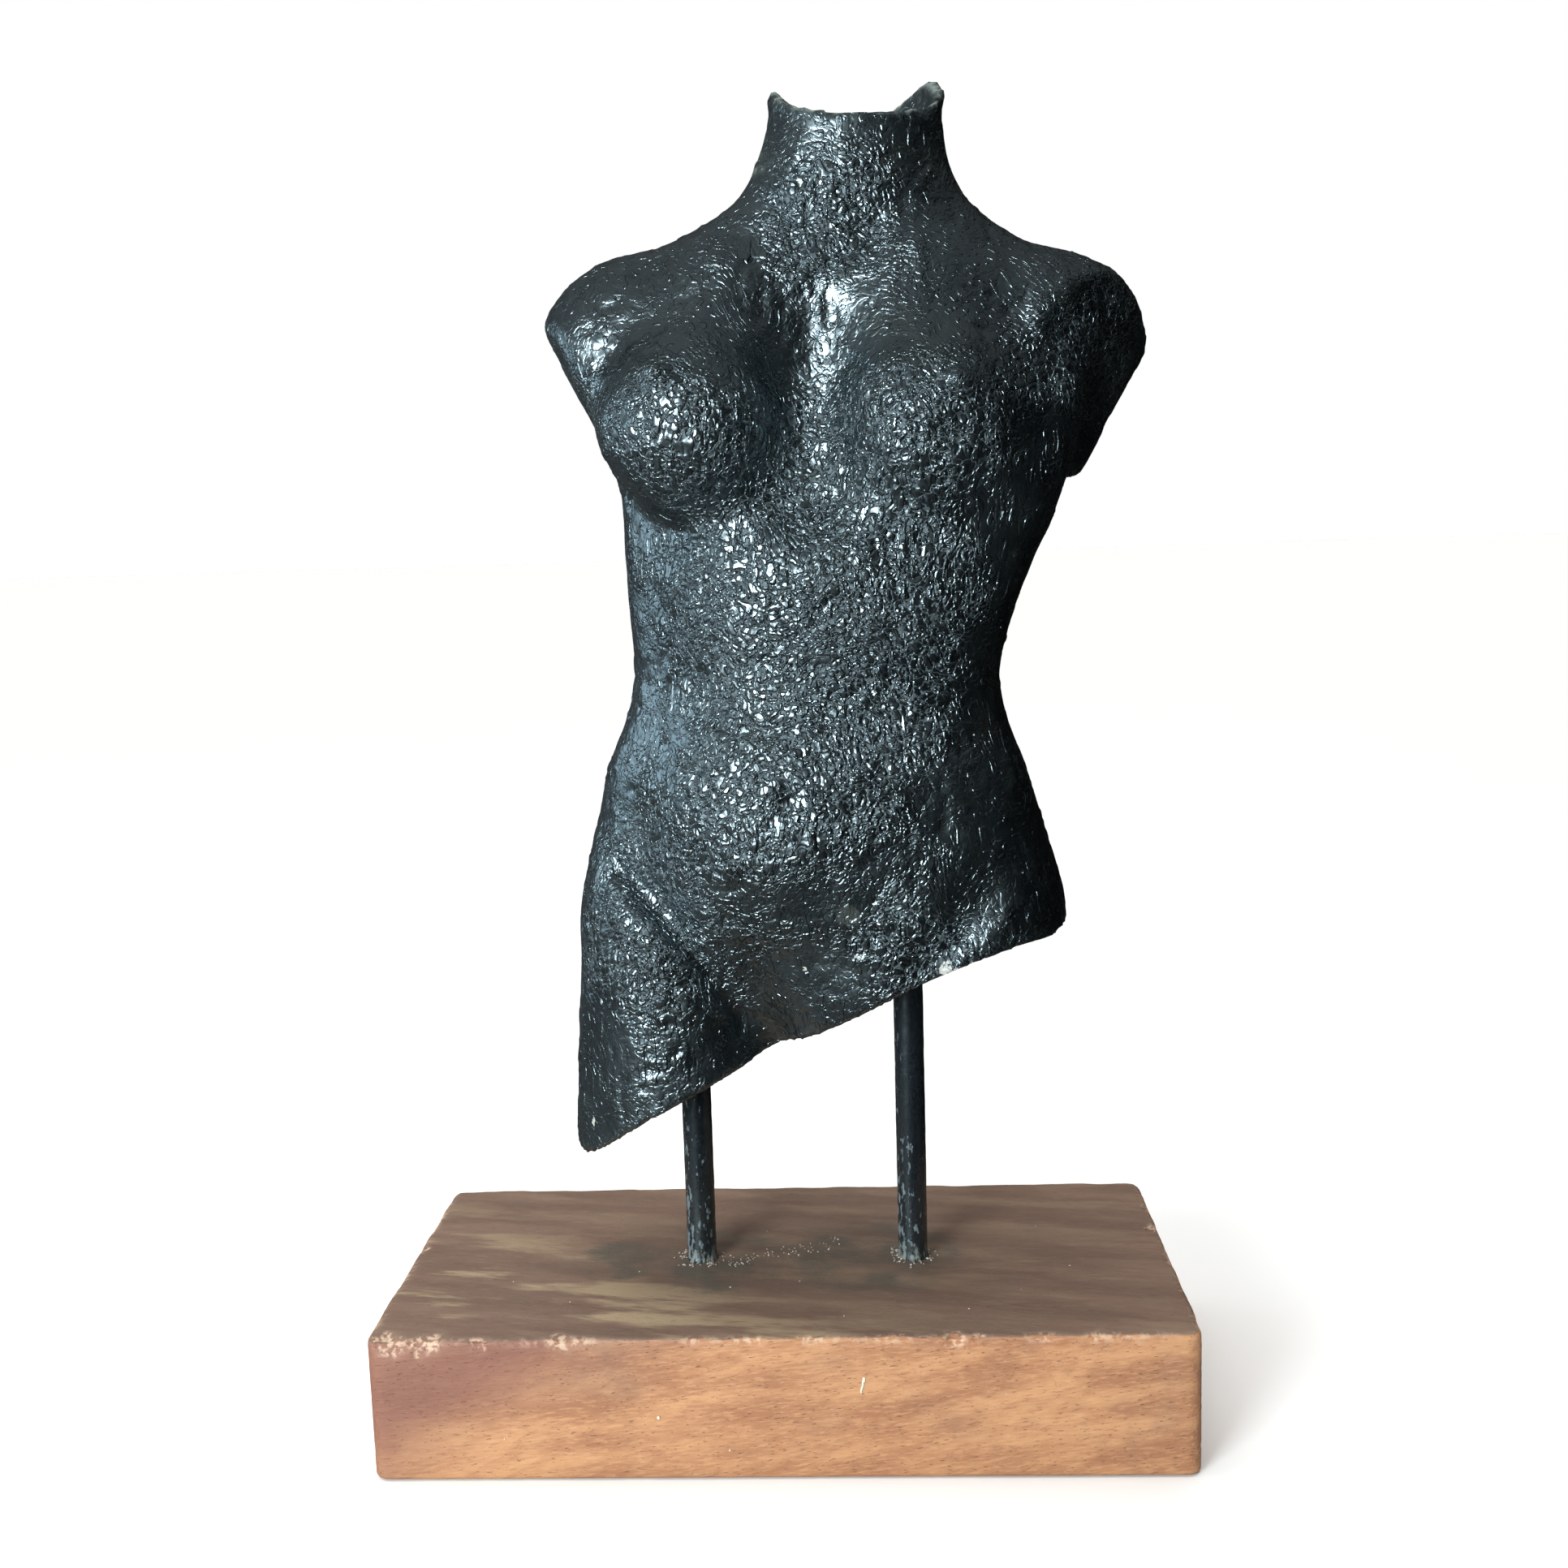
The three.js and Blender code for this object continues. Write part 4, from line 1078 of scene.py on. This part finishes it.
LEFT_CRUMBS, RIGHT_CRUMBS, TRAIL_CRUMBS = 70, 64, 90
pinkish = crumb_colour("filler_crumbs", (0.24, 0.19, 0.16), (0.52, 0.45, 0.40))
scattered("left_rod_crumbs", pinkish, ring_of_crumbs("rod_left", LEFT_CRUMBS, 2.4))
scattered("right_rod_crumbs", pinkish, ring_of_crumbs("rod_right", RIGHT_CRUMBS, 2.2))
trail = []
for _ in range(TRAIL_CRUMBS):
    t = crumb_random.uniform(0, 1)
    x = -20 + 38 * t
    y = -7 + 17 * t + crumb_random.normal(0, 2.4)
    trail.append(((x, y, plinth_high.z / MM - 0.05), crumb_random.uniform(0.16, 0.46), 0.6))
scattered("crumb_trail", pinkish, trail)
print("crumbs", LEFT_CRUMBS + RIGHT_CRUMBS + TRAIL_CRUMBS)

# %% [markdown]
# The flecks of pale paint are thinner: drops that dried on the upright front and on the top.

# %% Paint flecks
FRONT_FLECKS = [(-38.8, 20.8, 0.55), (-16.7, 9.7, 0.45), (-88.0, 14.0, 0.3), (70.0, 28.0, 0.28)]
TOP_FLECKS = [(-92.0, -20.0), (-70.0, -36.0), (-50.0, -13.0), (-18.0, -26.0), (5.0, -22.0),
              (78.0, -30.0), (96.0, -12.0), (60.0, -44.0), (20.0, -48.0), (-8.0, 20.0), (88.0, 22.0)]


def paint_flecks():
    front, top = plinth_low.y / MM, plinth_high.z / MM
    spots = [((x, front + 0.05, z), size, 1.0) for x, z, size in FRONT_FLECKS]
    spots += [((25.0 + 0.12 * k, front + 0.08, 28.9 + 0.55 * k), 0.5, 1.2) for k in range(9)]
    spots += [((x, y, top - 0.02), crumb_random.uniform(0.22, 0.4), 0.4) for x, y in TOP_FLECKS]
    pale = crumb_colour("pale_paint", (0.55, 0.52, 0.40), (0.80, 0.78, 0.62))
    return scattered("paint_flecks", pale, spots)


flecks = paint_flecks()
print("flecks", len(flecks.data.vertices), "corners")

# %% [markdown]
# The stage is a pale floor and soft light. A window of cool light stands at the front left, where
# the torso's brightest highlights point, and a bluer one at the left side. A broad ceiling light
# falls evenly on the floor. The right is left unlit, so that flank falls to black. The floor and
# the ceiling light the work but aren't mirrored in its gloss. A real pale floor would show there,
# so this is a choice made for the look.

# %% Floor and light
def big_floor(size):
    shape = bmesh.new()
    corners = [(-size, -size), (size, -size), (size, size), (-size, size)]
    shape.faces.new([shape.verts.new((x, y, -0.3 * MM)) for x, y in corners])
    floor = placed("pale_floor", mesh_of("pale_floor", shape))
    material, tree, shader = new_material("pale_floor")
    shader.inputs["Base Color"].default_value = (0.86, 0.86, 0.85, 1.0)
    shader.inputs["Roughness"].default_value = 0.9
    shader.inputs["Specular IOR Level"].default_value = 0.0
    floor.visible_glossy = False
    dress(floor, material)
    return floor


def panel(name, azimuth, elevation, distance, width, height, radiance, colour):
    """A soft rectangular light that faces the work's middle. Radiance is how bright its face is."""
    middle = Vector((0.02, 0.0, 0.24))
    a, e = math.radians(azimuth), math.radians(elevation)
    away = Vector((math.sin(a) * math.cos(e), -math.cos(a) * math.cos(e), math.sin(e)))
    light = bpy.data.lights.new(name, "AREA")
    light.shape = "RECTANGLE"
    light.size, light.size_y = width, height
    light.energy = radiance * math.pi * width * height
    light.color = colour
    holder = placed(name, light)
    holder.location = middle + distance * away
    holder.rotation_mode = "QUATERNION"
    holder.rotation_quaternion = away.to_track_quat("Z", "Y")
    holder.visible_camera = False
    return holder


def soft_room(pale, dim_left, dim_right, overhead):
    """The air all round: pale to the camera, and a dim light, brightest overhead and darkest at the right."""
    world = bpy.data.worlds.new("soft_room")
    world.use_nodes = True
    tree = world.node_tree
    tree.nodes.clear()
    sideways = put(tree, "SeparateXYZ", "X", Vector=put(tree, "TexCoord", "Generated"))
    right = step(tree, sideways, -0.7, 0.5)
    dim = maths(tree, "MULTIPLY_ADD", right, dim_right - dim_left, dim_left)
    above = put(tree, "SeparateXYZ", "Z", Vector=put(tree, "TexCoord", "Generated"))
    dim = maths(tree, "MULTIPLY_ADD", step(tree, above, 0.25, 0.9), overhead, dim)
    seen = put(tree, "LightPath", "Is Camera Ray")
    strength = maths(tree, "MAXIMUM", maths(tree, "MULTIPLY", seen, pale), dim)
    background = put(tree, "Background", 0, Color=(1.0, 1.0, 1.0, 1.0), Strength=strength)
    output = tree.nodes.new("ShaderNodeOutputWorld")
    tree.links.new(background, output.inputs["Surface"])
    bpy.context.scene.world = world


def sky_sun(name, irradiance, spread, colour):
    """A broad overhead light that falls evenly on the whole floor."""
    light = bpy.data.lights.new(name, "SUN")
    light.energy = irradiance
    light.angle = math.radians(spread)
    light.color = colour
    holder = placed(name, light)
    holder.rotation_euler = (math.radians(-8), math.radians(-10), 0.0)
    holder.visible_glossy = False


big_floor(30.0)
panel("window", -31, 9, 1.15, 0.40, 0.54, 26.0, (0.90, 0.97, 1.0))
panel("side_window", -98, 12, 1.0, 0.55, 0.36, 2.1, (0.70, 0.88, 1.0))
sky_sun("ceiling", 3.35, 80, (1.0, 0.995, 0.985))
soft_room(1.0, 0.09, 0.005, 0.13)
